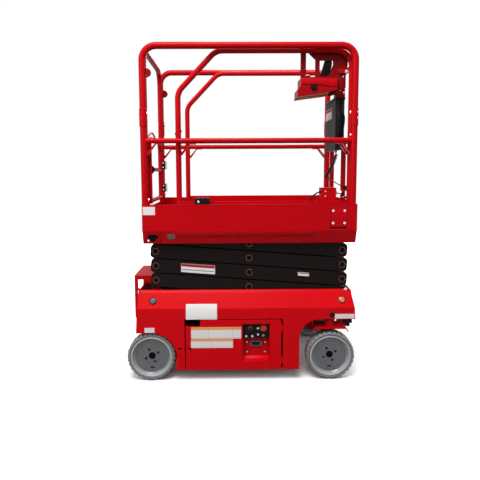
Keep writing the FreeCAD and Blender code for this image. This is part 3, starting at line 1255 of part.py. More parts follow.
wheels()
for name, side in SIDES:
    node(f"side_cover_{name}", side_cover(side))
node("chassis_deck", chassis_deck())
node("chassis_spine", chassis_spine())
node("rear_axle", rear_axle())
node("front_axle", front_axle())
node("rear_step", rear_step())
node("battery_pack", battery_pack())
node("power_unit", power_unit())
node("side_lamps", side_lamps())
for name, side in SIDES:
    node(f"door_{name}", door(side))
node("ground_panel", ground_panel())
for name, side in SIDES:
    node(f"knuckle_{name}", knuckle(side))
node("tie_rod", tie_rod())
for level in range(4):
    node(f"inner_arms_{level + 1}", inner_arms(level))
    node(f"outer_arms_{level + 1}", outer_arms(level))
node("lift_barrel", lift_barrel())
node("lift_rod", lift_rod())
node("platform_tub", platform_tub())
for name, side in SIDES:
    node(f"main_rail_{name}", main_rail(side))
node("rear_hoop", rear_hoop())
node("gate", gate())
node("deck_latch", deck_latch())
node("slide_deck", slide_deck())
for name, side in SIDES:
    node(f"slide_rail_{name}", slide_rail(side))
node("front_rail", front_rail())
node("control_hanger", control_hanger())
node("control_box", control_box())
node("manual_box", manual_box())
node("junction_box", junction_box())
node("cord_socket", cord_socket())
node("cord_coil", cord(COIL_ROUTE, "coil_radius"))
node("cord_lead", cord(LEAD_ROUTE, "lead_radius"))
document.recompute()

faults = [f"{item.Label}: {state}" for item in document.Objects for state in item.State
          if state in ("Invalid", "Error")]
faults += [f"{item.Label}: no valid shape" for item in nodes if item.Shape.isNull() or not item.Shape.isValid()]
if faults:
    raise ValueError("; ".join(faults))

os.makedirs("parts", exist_ok=True)
for item in nodes:
    item.Shape.exportStep(f"parts/{item.Label}.step")
    box = item.Shape.optimalBoundingBox()
    print(f"{item.Label:18} {len(item.Shape.Solids)} solids, {item.Shape.Volume / 1e6:8.3f} l,"
          f" X {box.XMin:.1f} {box.XMax:.1f}, Y {box.YMin:.1f} {box.YMax:.1f}, Z {box.ZMin:.1f} {box.ZMax:.1f}")
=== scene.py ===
from math import asin, atan2, cos, pi, radians, sin, tan

import bmesh
import bpy
from mathutils import Matrix, Vector


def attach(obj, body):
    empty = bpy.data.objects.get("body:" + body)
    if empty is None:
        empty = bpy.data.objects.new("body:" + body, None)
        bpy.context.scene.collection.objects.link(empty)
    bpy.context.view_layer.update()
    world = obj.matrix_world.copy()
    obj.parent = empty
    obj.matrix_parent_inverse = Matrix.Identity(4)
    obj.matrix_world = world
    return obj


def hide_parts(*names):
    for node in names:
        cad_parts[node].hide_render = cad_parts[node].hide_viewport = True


# The looks of a mini scissor lift, in the part's own frame. -Y is the near side, with the ground control,
# and +X is the front. Shapes are in millimetres; camera, lights, set and materials are in metres.

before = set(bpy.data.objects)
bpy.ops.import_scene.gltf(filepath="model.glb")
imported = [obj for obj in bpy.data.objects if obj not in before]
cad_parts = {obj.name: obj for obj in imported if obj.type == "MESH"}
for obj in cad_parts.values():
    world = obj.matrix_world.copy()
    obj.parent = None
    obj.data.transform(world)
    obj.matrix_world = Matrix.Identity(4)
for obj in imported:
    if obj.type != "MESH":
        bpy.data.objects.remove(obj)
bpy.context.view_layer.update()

NEAR = -1
FAR = 1
SIDES = (("near", NEAR), ("far", FAR))
AXLE = 520
ENDS = (("rear", -AXLE), ("front", AXLE))
WHEEL_HEIGHT = 140
WHEEL_FACE = 375
HALF_WIDTH = 380
FRONT_LIMIT = 660


# Camera, light and floor

EYE = (-0.0714, -2.8747, 1.2138)
YAW, PITCH, ROLL = 0.0085, 0.0981, -0.0047
FOCAL_PIXELS = 446.6
AIM_PIXEL = (231.81, 215.0)
FRAME_PIXELS = 480
SENSOR_WIDTH = 36
HORIZON = (-0.15, 0.25)
SKY_STRENGTH = (0.10, 0.80)
FLOOR_GLOW = (1.5, 3.6)
FLOOR_HALF = 6
FLOOR_DROP = 0.0005
DOME_RADIUS = 30
WHITE = (1, 1, 1, 1)


def add_camera():
    """The photograph's view, from its eye point, turns, focal length and aim."""
    forward = Vector((sin(YAW) * cos(PITCH), cos(YAW) * cos(PITCH), -sin(PITCH)))
    level = Vector((cos(YAW), -sin(YAW), 0))
    upward = level.cross(forward)
    right = level * cos(ROLL) + upward * sin(ROLL)
    top = upward * cos(ROLL) - level * sin(ROLL)
    turn = Matrix((right, top, -forward)).transposed().to_4x4()
    data = bpy.data.cameras.new("camera")
    data.sensor_width = SENSOR_WIDTH
    data.lens = SENSOR_WIDTH * FOCAL_PIXELS / FRAME_PIXELS
    data.shift_x = (FRAME_PIXELS / 2 - AIM_PIXEL[0]) / FRAME_PIXELS
    data.shift_y = (AIM_PIXEL[1] - FRAME_PIXELS / 2) / FRAME_PIXELS
    camera = bpy.data.objects.new("camera", data)
    camera.matrix_world = Matrix.Translation(EYE) @ turn
    bpy.context.scene.collection.objects.link(camera)
    bpy.context.scene.camera = camera


def add_light(name, place, target, size, power):
    data = bpy.data.lights.new(name, "AREA")
    data.size = size
    data.energy = power
    light = bpy.data.objects.new(name, data)
    light.location = place
    light.rotation_euler = (Vector(target) - Vector(place)).to_track_quat("-Z", "Y").to_euler()
    bpy.context.scene.collection.objects.link(light)


def add_studio():
    """A white dome, a pale floor and soft lights; the world is darker below the horizon."""
    world = bpy.data.worlds.new("studio")
    world.use_nodes = True
    tree = world.node_tree
    height = node(tree, "SeparateXYZ", {"Vector": node(tree, "TexCoord").outputs["Generated"]})
    sky = ramp(tree, height.outputs["Z"], HORIZON, SKY_STRENGTH)
    feed(tree, tree.nodes["Background"], {"Strength": sky, "Color": WHITE})
    bpy.context.scene.world = world
    bpy.context.scene.view_settings.view_transform = "Standard"
    add_light("top", (-0.6, -2.2, 4.4), (0, 0, 0.8), 2.2, 215)
    add_light("key", (-2.6, -3.0, 2.2), (0, 0, 0.8), 1.6, 34)
    add_light("back", (0.8, 3.2, 4.0), (0, 0, 0.9), 2.4, 150)
    bm = bmesh.new()
    bmesh.ops.create_grid(bm, x_segments=1, y_segments=1, size=FLOOR_HALF)
    floor = add_stage("floor", bm, floor_surface())
    floor.location.z = -FLOOR_DROP
    bm = bmesh.new()
    bmesh.ops.create_uvsphere(bm, u_segments=48, v_segments=24, radius=DOME_RADIUS)
    white = bpy.data.materials.new("dome_white")
    white.use_nodes = True
    feed(white.node_tree, white.node_tree.nodes["Principled BSDF"], {
        "Base Color": (0, 0, 0, 1), "Specular IOR Level": 0, "Emission Color": WHITE, "Emission Strength": 1})
    dome = add_stage("dome", bm, white)
    dome.visible_glossy = False
    dome.visible_shadow = False


def add_stage(name, bm, material):
    """A part of the set, which the camera sees and which throws no light back on the object."""
    mesh = bpy.data.meshes.new(name)
    bm.to_mesh(mesh)
    bm.free()
    mesh.materials.append(material)
    item = bpy.data.objects.new(name, mesh)
    bpy.context.scene.collection.objects.link(item)
    item.visible_diffuse = False
    return item


# Materials

LOW_TINT_TOP = 0.35
GLOSS_SPREAD = 0.08
GRAIN_DEPTH = 0.001
EDGE_RADIUS = 0.0015
DISH_EDGE = (0.096, 0.110)


def node(tree, kind, inputs=None, **settings):
    """A new node with its settings and inputs."""
    item = tree.nodes.new("ShaderNode" + kind)
    for setting, value in settings.items():
        setattr(item, setting, value)
    feed(tree, item, inputs or {})
    return item


def feed(tree, item, inputs):
    """Gives each named input of a node its value, or the socket that drives it."""
    for key, value in inputs.items():
        if isinstance(value, bpy.types.NodeSocket):
            tree.links.new(value, item.inputs[key])
        else:
            item.inputs[key].default_value = value


def ramp(tree, value, start=(0, 1), result=(0, 1)):
    """A value carried over from one range to another."""
    return node(tree, "MapRange", {"Value": value, "From Min": start[0], "From Max": start[1],
                                   "To Min": result[0], "To Max": result[1]}).outputs["Result"]


def blend(tree, factor, first, second):
    mix = node(tree, "Mix", data_type="RGBA")
    feed(tree, mix, {"Factor": factor, "A": first, "B": second})
    return mix.outputs["Result"]


def surface(name, colour, roughness, spread, cloud, grain, shine=0.5, metallic=0.0, coat=0.0, low_tint=None,
            round_edges=False):
    """A material of clouded colour, uneven gloss and fine grain; a second colour, if given, is blended in
    patches, more strongly towards the bottom.
    """
    material = bpy.data.materials.new(name)
    material.use_nodes = True
    tree = material.node_tree
    place = node(tree, "TexCoord").outputs["Object"]

    def noise(scale, detail):
        return node(tree, "TexNoise", {"Vector": place, "Scale": scale, "Detail": detail}).outputs["Fac"]

    dark = [channel * (1 - spread) for channel in colour]
    light = [min(1.0, channel * (1 + spread)) for channel in colour]
    shade = blend(tree, noise(cloud, 5), (*dark, 1), (*light, 1))
    if low_tint:
        height = node(tree, "SeparateXYZ", {"Vector": place}).outputs["Z"]
        low = ramp(tree, height, (LOW_TINT_TOP, 0))
        patches = node(tree, "Math", {0: low, 1: noise(28, 6)}, operation="MULTIPLY")
        shade = blend(tree, patches.outputs["Value"], shade, (*low_tint, 1))
    limits = (max(0.02, roughness - GLOSS_SPREAD), min(1.0, roughness + GLOSS_SPREAD))
    bump = node(tree, "Bump", {"Height": noise(grain[0], 3), "Strength": grain[1], "Distance": GRAIN_DEPTH})
    if round_edges:
        edge = node(tree, "Bevel", {"Radius": EDGE_RADIUS}, samples=4)
        feed(tree, bump, {"Normal": edge.outputs["Normal"]})
    feed(tree, tree.nodes["Principled BSDF"], {
        "Base Color": shade, "Roughness": ramp(tree, noise(cloud * 5, 4), result=limits),
        "Normal": bump.outputs["Normal"], "Metallic": metallic, "Coat Weight": coat, "Coat Roughness": 0.12,
        "Specular IOR Level": shine})
    return material


def floor_surface():
    """The pale floor, which turns into the white of the dome a few metres out."""
    material = surface("floor_pale", (0.86, 0.86, 0.86), 0.7, 0.01, 6, (60, 0.02), 0.1)
    tree = material.node_tree
    place = node(tree, "TexCoord").outputs["Object"]
    length = node(tree, "VectorMath", {0: place}, operation="LENGTH").outputs["Value"]
    feed(tree, tree.nodes["Principled BSDF"], {
        "Emission Color": WHITE, "Emission Strength": ramp(tree, length, FLOOR_GLOW)})
    return material


def rim_surface(name, centre_x):
    """Wheel paint told apart by the distance from the axle: light at the rim's edge, partly painted light on
    the barrel, and dark in the dish, partly painted shade.
    """
    material = surface(name, (0.050, 0.053, 0.060), 0.24, 0.12, 30, (700, 0.03), coat=0.3)
    tree = material.node_tree
    shader = tree.nodes["Principled BSDF"]
    dish = shader.inputs["Base Color"].links[0].from_socket
    place = node(tree, "TexCoord").outputs["Object"]
    centre = (centre_x / 1000, 0, WHEEL_HEIGHT / 1000)
    shift = node(tree, "VectorMath", {0: place, 1: centre}, operation="SUBTRACT").outputs["Vector"]
    flat = node(tree, "VectorMath", {0: shift, 1: (1, 0, 1)}, operation="MULTIPLY").outputs["Vector"]
    length = node(tree, "VectorMath", {0: flat}, operation="LENGTH").outputs["Value"]
    # The step from dark to light grey at the dish's edge is partly painted light and shade.
    paint = blend(tree, ramp(tree, length, DISH_EDGE), dish, (0.30, 0.31, 0.33, 1))
    feed(tree, shader, {"Base Color": paint})
    return material


def gloss_paint(name, colour, roughness=0.30, spread=0.05, cloud=3.5, shine=0.07):
    return surface(name, colour, roughness, spread, cloud, (700, 0.03), shine, round_edges=True)


def plate_ink(name, colour, spread=0.06):
    return surface(name, colour, 0.5, spread, 25, (600, 0.03), 0.2)


LOOKS = {
    # material, colour, roughness, spread of the colour, scale of its clouds, scale and strength of the grain,
    # shine
    "red": gloss_paint("red_gloss", (0.40, 0.0008, 0.0038)),
    "cover_red": gloss_paint("red_gloss_cover", (0.49, 0.0008, 0.0042)),
    # The red paint made darker: painted shade on the control box.
    "half_shaded_red": gloss_paint("red_gloss_half_shade", (0.27, 0.0006, 0.0042), 0.32, 0.06, 5),
    # The red paint made darker still: painted shade on the hanger, the tie rod's arms, the post hooks, the
    # fitting and the bracket.
    "shaded_red": gloss_paint("red_gloss_painted_shade", (0.20, 0.0005, 0.003), 0.32, 0.06, 5, 0.10),
    "arm": surface("arm_satin", (0.0050, 0.0025, 0.0025), 0.42, 0.3, 9, (500, 0.06), 0.06, round_edges=True),
    "steel": surface("bare_steel", (0.52, 0.53, 0.54), 0.34, 0.1, 40, (1500, 0.08), metallic=1.0),
    "zinc": surface("zinc_plate", (0.78, 0.70, 0.70), 0.30, 0.12, 60, (1500, 0.08), metallic=0.7),
    "chrome": surface("hard_chrome", (0.34, 0.35, 0.37), 0.14, 0.04, 20, (2000, 0.02), metallic=1.0),
    "dark": surface("dark_steel_paint", (0.008, 0.007, 0.007), 0.5, 0.3, 16, (600, 0.08), 0.12,
                    round_edges=True),
    "black": surface("moulded_black", (0.0038, 0.0038, 0.0042), 0.5, 0.2, 20, (1800, 0.18), 0.07),
    # The tyre's grey turns darker in patches towards the bottom.
    "tyre": surface("grey_rubber", (0.17, 0.17, 0.165), 0.75, 0.10, 18, (420, 0.20), 0.3,
                    low_tint=(0.11, 0.10, 0.09)),
    "cord": surface("cord_rubber_black", (0.005, 0.005, 0.0055), 0.45, 0.2, 60, (900, 0.1), 0.14),
    "case": surface("pack_case", (0.02, 0.021, 0.023), 0.6, 0.2, 12, (500, 0.12), 0.3),
    "grey_case": surface("document_case", (0.020, 0.021, 0.026), 0.55, 0.15, 20, (1200, 0.2), 0.14),
    "bag": surface("bag_black", (0.0028, 0.0028, 0.004), 0.36, 0.8, 120, (240, 0.8), 0.10),
    "amber": surface("amber_lens", (0.55, 0.13, 0.010), 0.18, 0.15, 90, (300, 0.12), coat=0.4),
    "white": plate_ink("plate_white", (0.60, 0.575, 0.57), 0.04),
    "line": plate_ink("plate_line", (0.34, 0.31, 0.30)),
    "orange": plate_ink("plate_orange", (0.62, 0.27, 0.05)),
    "label_red": plate_ink("plate_red", (0.28, 0.006, 0.014), 0.08),
    "yellow": surface("ring_ochre", (0.34, 0.12, 0.015), 0.45, 0.08, 25, (700, 0.04), 0.2),
    "button": surface("button_red", (0.42, 0.008, 0.006), 0.30, 0.06, 30, (700, 0.04), 0.3),
    "grey": surface("plug_grey", (0.075, 0.08, 0.095), 0.42, 0.10, 40, (800, 0.08), 0.3),
    "oval": surface("skirt_plug", (0.12, 0.075, 0.07), 0.6, 0.2, 60, (500, 0.15), 0.2),
    "ring": surface("pin_ring_bronze", (0.16, 0.055, 0.045), 0.38, 0.15, 60, (900, 0.06), metallic=0.4),
    # Near-black, painted shade in slots, holes, gaps and hollows.
    "shadow": surface("painted_shadow_black", (0.003, 0.0025, 0.0025), 0.85, 0.2, 30, (400, 0.1), 0.05),
    "board": surface("board_brown", (0.24, 0.085, 0.03), 0.7, 0.25, 35, (300, 0.2), 0.2),
}


def dress_nodes():
    """Gives every carried-over node its finish, and keeps each rim's for the pieces on its wheel."""
    finishes = (
        ("rim_", None), ("tyre", "tyre"), ("inner_arms", "arm"), ("outer_arms", "arm"), ("battery", "case"),
        ("power", "case"), ("manual_box", "grey_case"), ("cord", "cord"), ("lift_rod", "chrome"),
        ("rear_axle", "dark"), ("tie_rod", "dark"), ("lift_barrel", "dark"), ("side_lamps", "grey"),
        # The control hanger and the control box take darker copies of the red paint, painted shade.
        ("deck_latch", "black"), ("control_hanger", "shaded_red"), ("control_box", "half_shaded_red"),
        ("side_cover", "cover_red"), ("door", "cover_red"), ("", "red"),
    )
    for label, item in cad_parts.items():
        start, look = next(pair for pair in finishes if label.startswith(pair[0]))
        if start == "rim_":
            look = label
            LOOKS[label] = rim_surface(f"{label}_paint", AXLE if "front" in label else -AXLE)
        item.data.materials.clear()
        item.data.materials.append(LOOKS[look])


# Shapes. A shape is a list of meshes, each with its points and its faces, so a plus joins two shapes.

SCALE = 0.001
BEVEL_ANGLE = 0.6
SHARP_ANGLE = radians(35)


def spot(axis, across, up, along):
    """A point from its two places in a plane and its place on the plane's own axis."""
    return {"x": (along, across, up), "y": (across, along, up), "z": (across, up, along)}[axis]


def on_circle(centre, radius, degrees):
    """A point of a circle in a plane, from its angle."""
    angle = radians(degrees)
    return centre[0] + radius * cos(angle), centre[1] + radius * sin(angle)


def round_angles(count):
    return [2 * pi * index / count for index in range(count)]


def lofted(rings, capped=True):
    """Walls from each ring of points to the next, with a face over each end unless it stays open."""
    count = len(rings[0])
    faces = []
    for start in range(0, count * (len(rings) - 1), count):
        for index in range(count):
            after = (index + 1) % count
            faces.append((start + index, start + after, start + count + after, start + count + index))
    points = [point for ring in rings for point in ring]
    if capped:
        faces += [range(count), range(len(points) - count, len(points))]
    return [(points, faces)]


def every(shapes):
    """Many shapes as one."""
    return [mesh for shape in shapes for mesh in shape]


def moved(turn, shape):
    """A shape with a matrix applied to its points."""
    return [([turn @ Vector(point) for point in points], faces) for points, faces in shape]


def prism(axis, outline, low, high):
    """An outline made solid from low to high along an axis."""
    return lofted([[spot(axis, across, up, along) for across, up in outline] for along in (low, high)])


def round_outline(across, up, radius):
    """A rectangle with round corners, four steps to a corner."""
    points = []
    for quarter, (right, top) in enumerate(((1, 1), (0, 1), (0, 0), (1, 0))):
        centre = (across[right] + radius * (1 - 2 * right), up[top] + radius * (1 - 2 * top))
        points += [on_circle(centre, radius, 90 * quarter + 22.5 * step) for step in range(5)]
    return points


def slab(axis, across, up, radius, low, high):
    """A rectangle with round corners made solid from low to high along an axis."""
    return prism(axis, round_outline(across, up, radius), low, high)


def turned(axis, centre, profile, sides=24, seat=0, out=1, capped=True):
    """A shape turned about an axis; each point of the profile is a radius and a height over the seat."""
    return lofted([[spot(axis, *on_circle(centre, radius, 360 * index / sides), seat + out * height)
                    for index in range(sides)] for radius, height in profile], capped)


def bolt(axis, centre, seat, out, radius=6):
    """A hexagon head with a washer and a chamfered top; out is the way that it faces."""
    washer = turned(axis, centre, ((radius * 1.35, 0), (radius * 1.35, 1)), 18, seat, out)
    head = turned(axis, centre, ((radius, 0.8), (radius, radius * 0.75)), 6, seat, out)
    top = turned(axis, centre, ((radius * 0.84, radius * 0.7), (radius * 0.7, radius * 0.85)), 18, seat, out)
    return washer + head + top


def screw(axis, centre, seat, out, radius=5):
    """A domed head with the rim of its socket."""
    dome = ((1, 0), (1, 0.25), (0.8, 0.55), (0.45, 0.65), (0.40, 0.35))
    return turned(axis, centre, [(radius * wide, radius * high) for wide, high in dome], 16, seat, out)


def heads(kind, axis, places, seat, out, radius):
    """The same bolt or screw at several places of one face."""
    return every(kind(axis, place, seat, out, radius) for place in places)


def carried(directions):
    """Two directions square to each given one, carried along the line without a twist."""
    side = directions[0].orthogonal().normalized()
    frames = []
    for ahead in directions:
        side = (side - ahead * side.dot(ahead)).normalized()
        frames.append((side, ahead.cross(side)))
    return frames


def pipe(points, radius, sides=10):
    """A round bar through close points, its ends closed."""
    line = [Vector(point) for point in points]
    ahead = [(after - before).normalized() for before, after in zip(line[:1] + line, line[1:] + line[-1:])]
    return lofted([[point + side * (radius * cos(angle)) + other * (radius * sin(angle))
                    for angle in round_angles(sides)] for point, (side, other) in zip(line, carried(ahead))])


def curve(name, points, resolution):
    """A smooth curve that the given points hold."""
    data = bpy.data.curves.new(name, "CURVE")
    data.dimensions = "3D"
    spline = data.splines.new("NURBS")
    spline.points.add(len(points) - 1)
    for target, point in zip(spline.points, points):
        target.co = (*point, 1)
    spline.order_u = 3
    spline.use_endpoint_u = True
    spline.resolution_u = resolution
    item = bpy.data.objects.new(name, data)
    bpy.context.scene.collection.objects.link(item)
    return item


def smooth_line(points, resolution):
    """Points read from a smooth curve that the given points hold."""
    holder = curve("line", points, resolution)
    bpy.context.view_layer.update()
    mesh = bpy.data.meshes.new_from_object(holder)
    line = [tuple(vert.co) for vert in mesh.vertices]
    bpy.data.objects.remove(holder)
    bpy.data.meshes.remove(mesh)
    return line


def lozenge(centre, top, turn, length, width, height):
    """One raised mark of a tread plate, open below."""
    points = [(*on_circle(centre, reach, turn + 90 * quarter), top)
              for quarter, reach in enumerate((length, width, length, width))]
    points += [(*on_circle(centre, length * 0.6, turn + half), top + height) for half in (0, 180)]
    return [(points, [(0, 1, 5, 4), (1, 2, 5), (2, 3, 4, 5), (3, 0, 4)])]


def piece(name, body, look, shape, bevel=0.0, flat=False):
    """Finishes a shape as a named piece that moves with a body."""
    bm = bmesh.new()
    for points, faces in shape:
        verts = [bm.verts.new(point) for point in points]
        for face in faces:
            bm.faces.new([verts[index] for index in face])
    bmesh.ops.recalc_face_normals(bm, faces=bm.faces)
    if bevel:
        walls = [edge for edge in bm.edges if len(edge.link_faces) == 2]
        sharp = [edge for edge in walls if edge.calc_face_angle() > BEVEL_ANGLE]
        bmesh.ops.bevel(bm, geom=sharp, offset=bevel, segments=2, profile=0.6, affect="EDGES",
                        clamp_overlap=True)
    bmesh.ops.scale(bm, vec=(SCALE, SCALE, SCALE), verts=bm.verts)
    mesh = bpy.data.meshes.new(name)
    bm.to_mesh(mesh)
    bm.free()
    if not flat:
        mesh.shade_smooth()
        mesh.set_sharp_from_angle(angle=SHARP_ANGLE)
    mesh.materials.append(LOOKS[look])
    item = bpy.data.objects.new(name, mesh)
    bpy.context.scene.collection.objects.link(item)
    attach(item, body)
    return item


# Wheels. The profiles' points are a radius and a depth behind the wheel's face.

TYRE_PROFILE = (
    (119, 4), (123, 1), (131, 0), (140, 10), (140, 26), (140, 54), (140, 70), (131, 80), (123, 79), (119, 76))
NOTCH_PROFILE = (
    (119, 4), (123, 1), (130, 2), (133, 13), (136, 26), (136, 54), (133, 67), (130, 78), (123, 79), (119, 76))
PITCHES = 30
PITCH_STATIONS = ((0, TYRE_PROFILE), (0.8, NOTCH_PROFILE), (3.2, NOTCH_PROFILE), (4.0, TYRE_PROFILE),
                  (8.0, TYRE_PROFILE))
BEAD_DEPTH = 4
DISH_DEPTH = 29
DISC_BACK = 41.2
BOLT_RADIUS = 39


def add_tyre(wheel, side, centre):
    """A solid tyre with a row of notches in each shoulder."""
    columns = []
    for pitch in range(PITCHES):
        for turn, profile in PITCH_STATIONS:
            angle = 360 / PITCHES * pitch + turn
            columns.append([spot("y", *on_circle(centre, radius, angle), side * (WHEEL_FACE - depth))
                            for radius, depth in profile])
    tyre = piece(f"tyre_tread_{wheel}", f"wheel_{wheel}", "tyre", lofted(list(zip(*columns)), False))
    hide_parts(f"tyre_{wheel}")


def add_hub(wheel, side, centre):
    """A wheel's bead and dish, with a capped axle end and a slot; the backing behind the bolt holes, the cap
    and the slot are near-black, painted shade.
    """
    body, paint = f"wheel_{wheel}", f"rim_{wheel}"
    bead = [(114.6 + 4.8 * cos(radians(step)), 3.4 * sin(radians(step)) - 0.4) for step in range(0, 181, 20)]
    bead += [(86 + 24 * cos(radians(step)), -24.6 * sin(radians(step))) for step in range(6, 91, 7)]
    shape = turned("y", centre, bead, 64, side * (WHEEL_FACE - BEAD_DEPTH), side, False)
    piece(f"rim_bead_{wheel}", body, paint, shape)
    dish = side * (WHEEL_FACE - DISH_DEPTH)
    shape = slab("y", (centre[0] - 13, centre[0] + 13), (64, 72), 3.9, dish - side, dish + side * 0.4)
    backing = ((21, 0), (62, 0), (62, -0.8), (21, -0.8), (21, 0))
    shape += turned("y", centre, backing, 64, side * (WHEEL_FACE - DISC_BACK), side, False)
    cap = ((20.6, -2), (20.6, 1.4), (18, 2.6), (13, 2.6), (11.5, 1.2), (4, 1.2))
    piece(f"hub_dark_{wheel}", body, "shadow", shape + turned("y", centre, cap, 32, dish, side))
    rim = ((8.6, -0.6), (8.8, 0.5), (10.4, 0.7), (11.2, -0.1))
    holes = [on_circle(centre, BOLT_RADIUS, 45 + 90 * turn) for turn in range(4)]
    shape = every(turned("y", hole, rim, 20, dish, side, False) for hole in holes)
    piece(f"hub_holes_{wheel}", body, paint, shape)


# Signs and plates, all blank

TOE_FACE = 366
SHOULDER_BEND = 430
SHOULDER_LEAN = atan2(45, 82)
SIGN_ROWS = (
    # name, side, ends of the plates along X, low and high edge, height of the coloured band
    ("sign_row_top", "near", (-288, -186, -50, 0), (252, 320), 15.5),
    ("sign_row_bottom", "near", (-289, -168, -47), (197, 249), 12.5),
    ("sign_row_far", "far", (-260, -150, -44, 60), (252, 320), 15.5),
)


def plate(name, body, look, side, depth, across, up, radius=4.0, proud=0.4):
    """A blank plate with round corners on a face square to Y."""
    piece(name, body, look, slab("y", across, up, radius, side * (depth - 0.3), side * (depth + proud)))


def shoulder_point(side, distance, proud):
    """A point on the slope of a side cover, from its distance up the slope from the bend."""
    depth = HALF_WIDTH - distance * sin(SHOULDER_LEAN) + proud * cos(SHOULDER_LEAN)
    return side * depth, SHOULDER_BEND + distance * cos(SHOULDER_LEAN) + proud * sin(SHOULDER_LEAN)


def add_sign_row(name, body, side, edges, up, head):
    """A row of blank plates with a coloured band along the top and thin lines on and between them."""
    plate(name, body, "white", side, HALF_WIDTH, (edges[0], edges[-1]), up, 2.5)
    cells = list(zip(edges, edges[1:]))
    for index, (start, end) in enumerate(cells):
        plate(f"{name}_head_{index}", body, "orange", side, HALF_WIDTH + 0.4, (start + 0.8, end - 0.8),
              (up[1] - head, up[1] - 0.6), 1.2, 0.2)
    seat, across, along = side * (HALF_WIDTH + 0.2), side * (HALF_WIDTH + 0.6), side * (HALF_WIDTH + 0.55)
    shape = every(slab("y", (edge - 0.9, edge + 0.9), (up[0] + 1, up[1] - 1), 0.8, seat, across)
                  for edge in edges[1:-1])
    shape += every(slab("y", (start + 6, end - 6), (up[0] + 5, up[0] + 6.4), 0.6, seat, along)
                   for start, end in cells)
    piece(f"{name}_lines", body, "line", shape)


def add_data_plate():
    """A blank plate bent over the edge between the near cover's side and its shoulder."""
    face, seat, low = -HALF_WIDTH - 0.7, -HALF_WIDTH + 0.4, 366
    top, top_back = shoulder_point(NEAR, 27, 0.7), shoulder_point(NEAR, 27, -0.4)
    outline = ((face, low), (face, SHOULDER_BEND), top, top_back, (seat, SHOULDER_BEND), (seat, low))
    piece("sign_data_plate", "chassis", "white", prism("x", outline, -316, -138))


def add_side_signs(name, side):
    for row, row_side, edges, up, head in SIGN_ROWS:
        if row_side == name:
            add_sign_row(row, f"door_{name}", side, edges, up, head)
    plate(f"sign_wheel_{name}", "chassis", "white", side, HALF_WIDTH, (-555, -498), (290, 319), 3)
    plate(f"sign_front_{name}", "chassis", "white", side, HALF_WIDTH, (541, 652), (366, 393), 3)
    plate(f"sign_tie_down_{name}", "platform", "white", side, TOE_FACE, (-552, -483), (969, 1015), 3)


# Chassis

PANEL_FACE = -360
PANEL_BACK = -337
REAR_PLATE = -596
FRONT_PLATE = 646
STEP_TOP = 572


def add_chassis_details(name, side):
    """Slots, screws, lamps and plugs of a side cover."""
    # The slots are near-black patches, painted shade in their openings.
    slots = every(slab("y", (place, place + 23), (188, 198), 4.9, side * (HALF_WIDTH - 2),
                       side * (HALF_WIDTH + 0.25)) for place in (-365, -307))
    piece(f"post_slots_{name}", "chassis", "shadow", slots)
    places = ((345, 99), (345, 330), (318, 99), (318, 330), (-352, 96), (-352, 330))
    screws = heads(screw, "y", places, side * (HALF_WIDTH - 1.8), side * 0.9, 4)
    piece(f"cover_screws_{name}", "chassis", "cover_red", screws)
    add_shoulder_lamp(f"lamp_{name}", side, 584, "amber")
    add_shoulder_lamp(f"plug_{name}", side, -506, "grey")
    plug = turned("y", (525, 387), ((18.5, -1), (18.5, -0.2), (14, 0.3)), 28, side * HALF_WIDTH, side)
    piece(f"cover_plug_{name}", "chassis", "black", plug)


def add_shoulder_lamp(name, side, place, look):
    """A round lens in a black ring, square to the slope of the shoulder."""
    tilt = Matrix.Rotation(side * (SHOULDER_LEAN - pi / 2), 4, "X")
    turn = Matrix.Translation((place, *shoulder_point(side, 46, 0))) @ tilt
    ring = turned("z", (0, 0), ((21, 0), (21, 3), (18.5, 5.4), (16.5, 5.4)), 28)
    piece(f"{name}_ring", "chassis", "black", moved(turn, ring))
    lens = turned("z", (0, 0), ((16.5, 4.0), (16, 5.6), (12, 7.0), (6, 7.8), (1, 8.0)), 28)
    piece(f"{name}_lens", "chassis", look, moved(turn, lens))


def add_door_details(name, side):
    """A lock and the hinge barrels of a door."""
    shape = every(turned("z", (237.7, side * 376), ((4.0, 0), (4.0, 12.6)), 14, low + part * 13.5)
                  for low in (101, 291) for part in range(3))
    shape += turned("y", (-303, 150), ((10, -3), (10, -1), (8, 0), (2, 0.2)), 20, side * HALF_WIDTH, side)
    piece(f"door_fittings_{name}", f"door_{name}", "cover_red", shape)


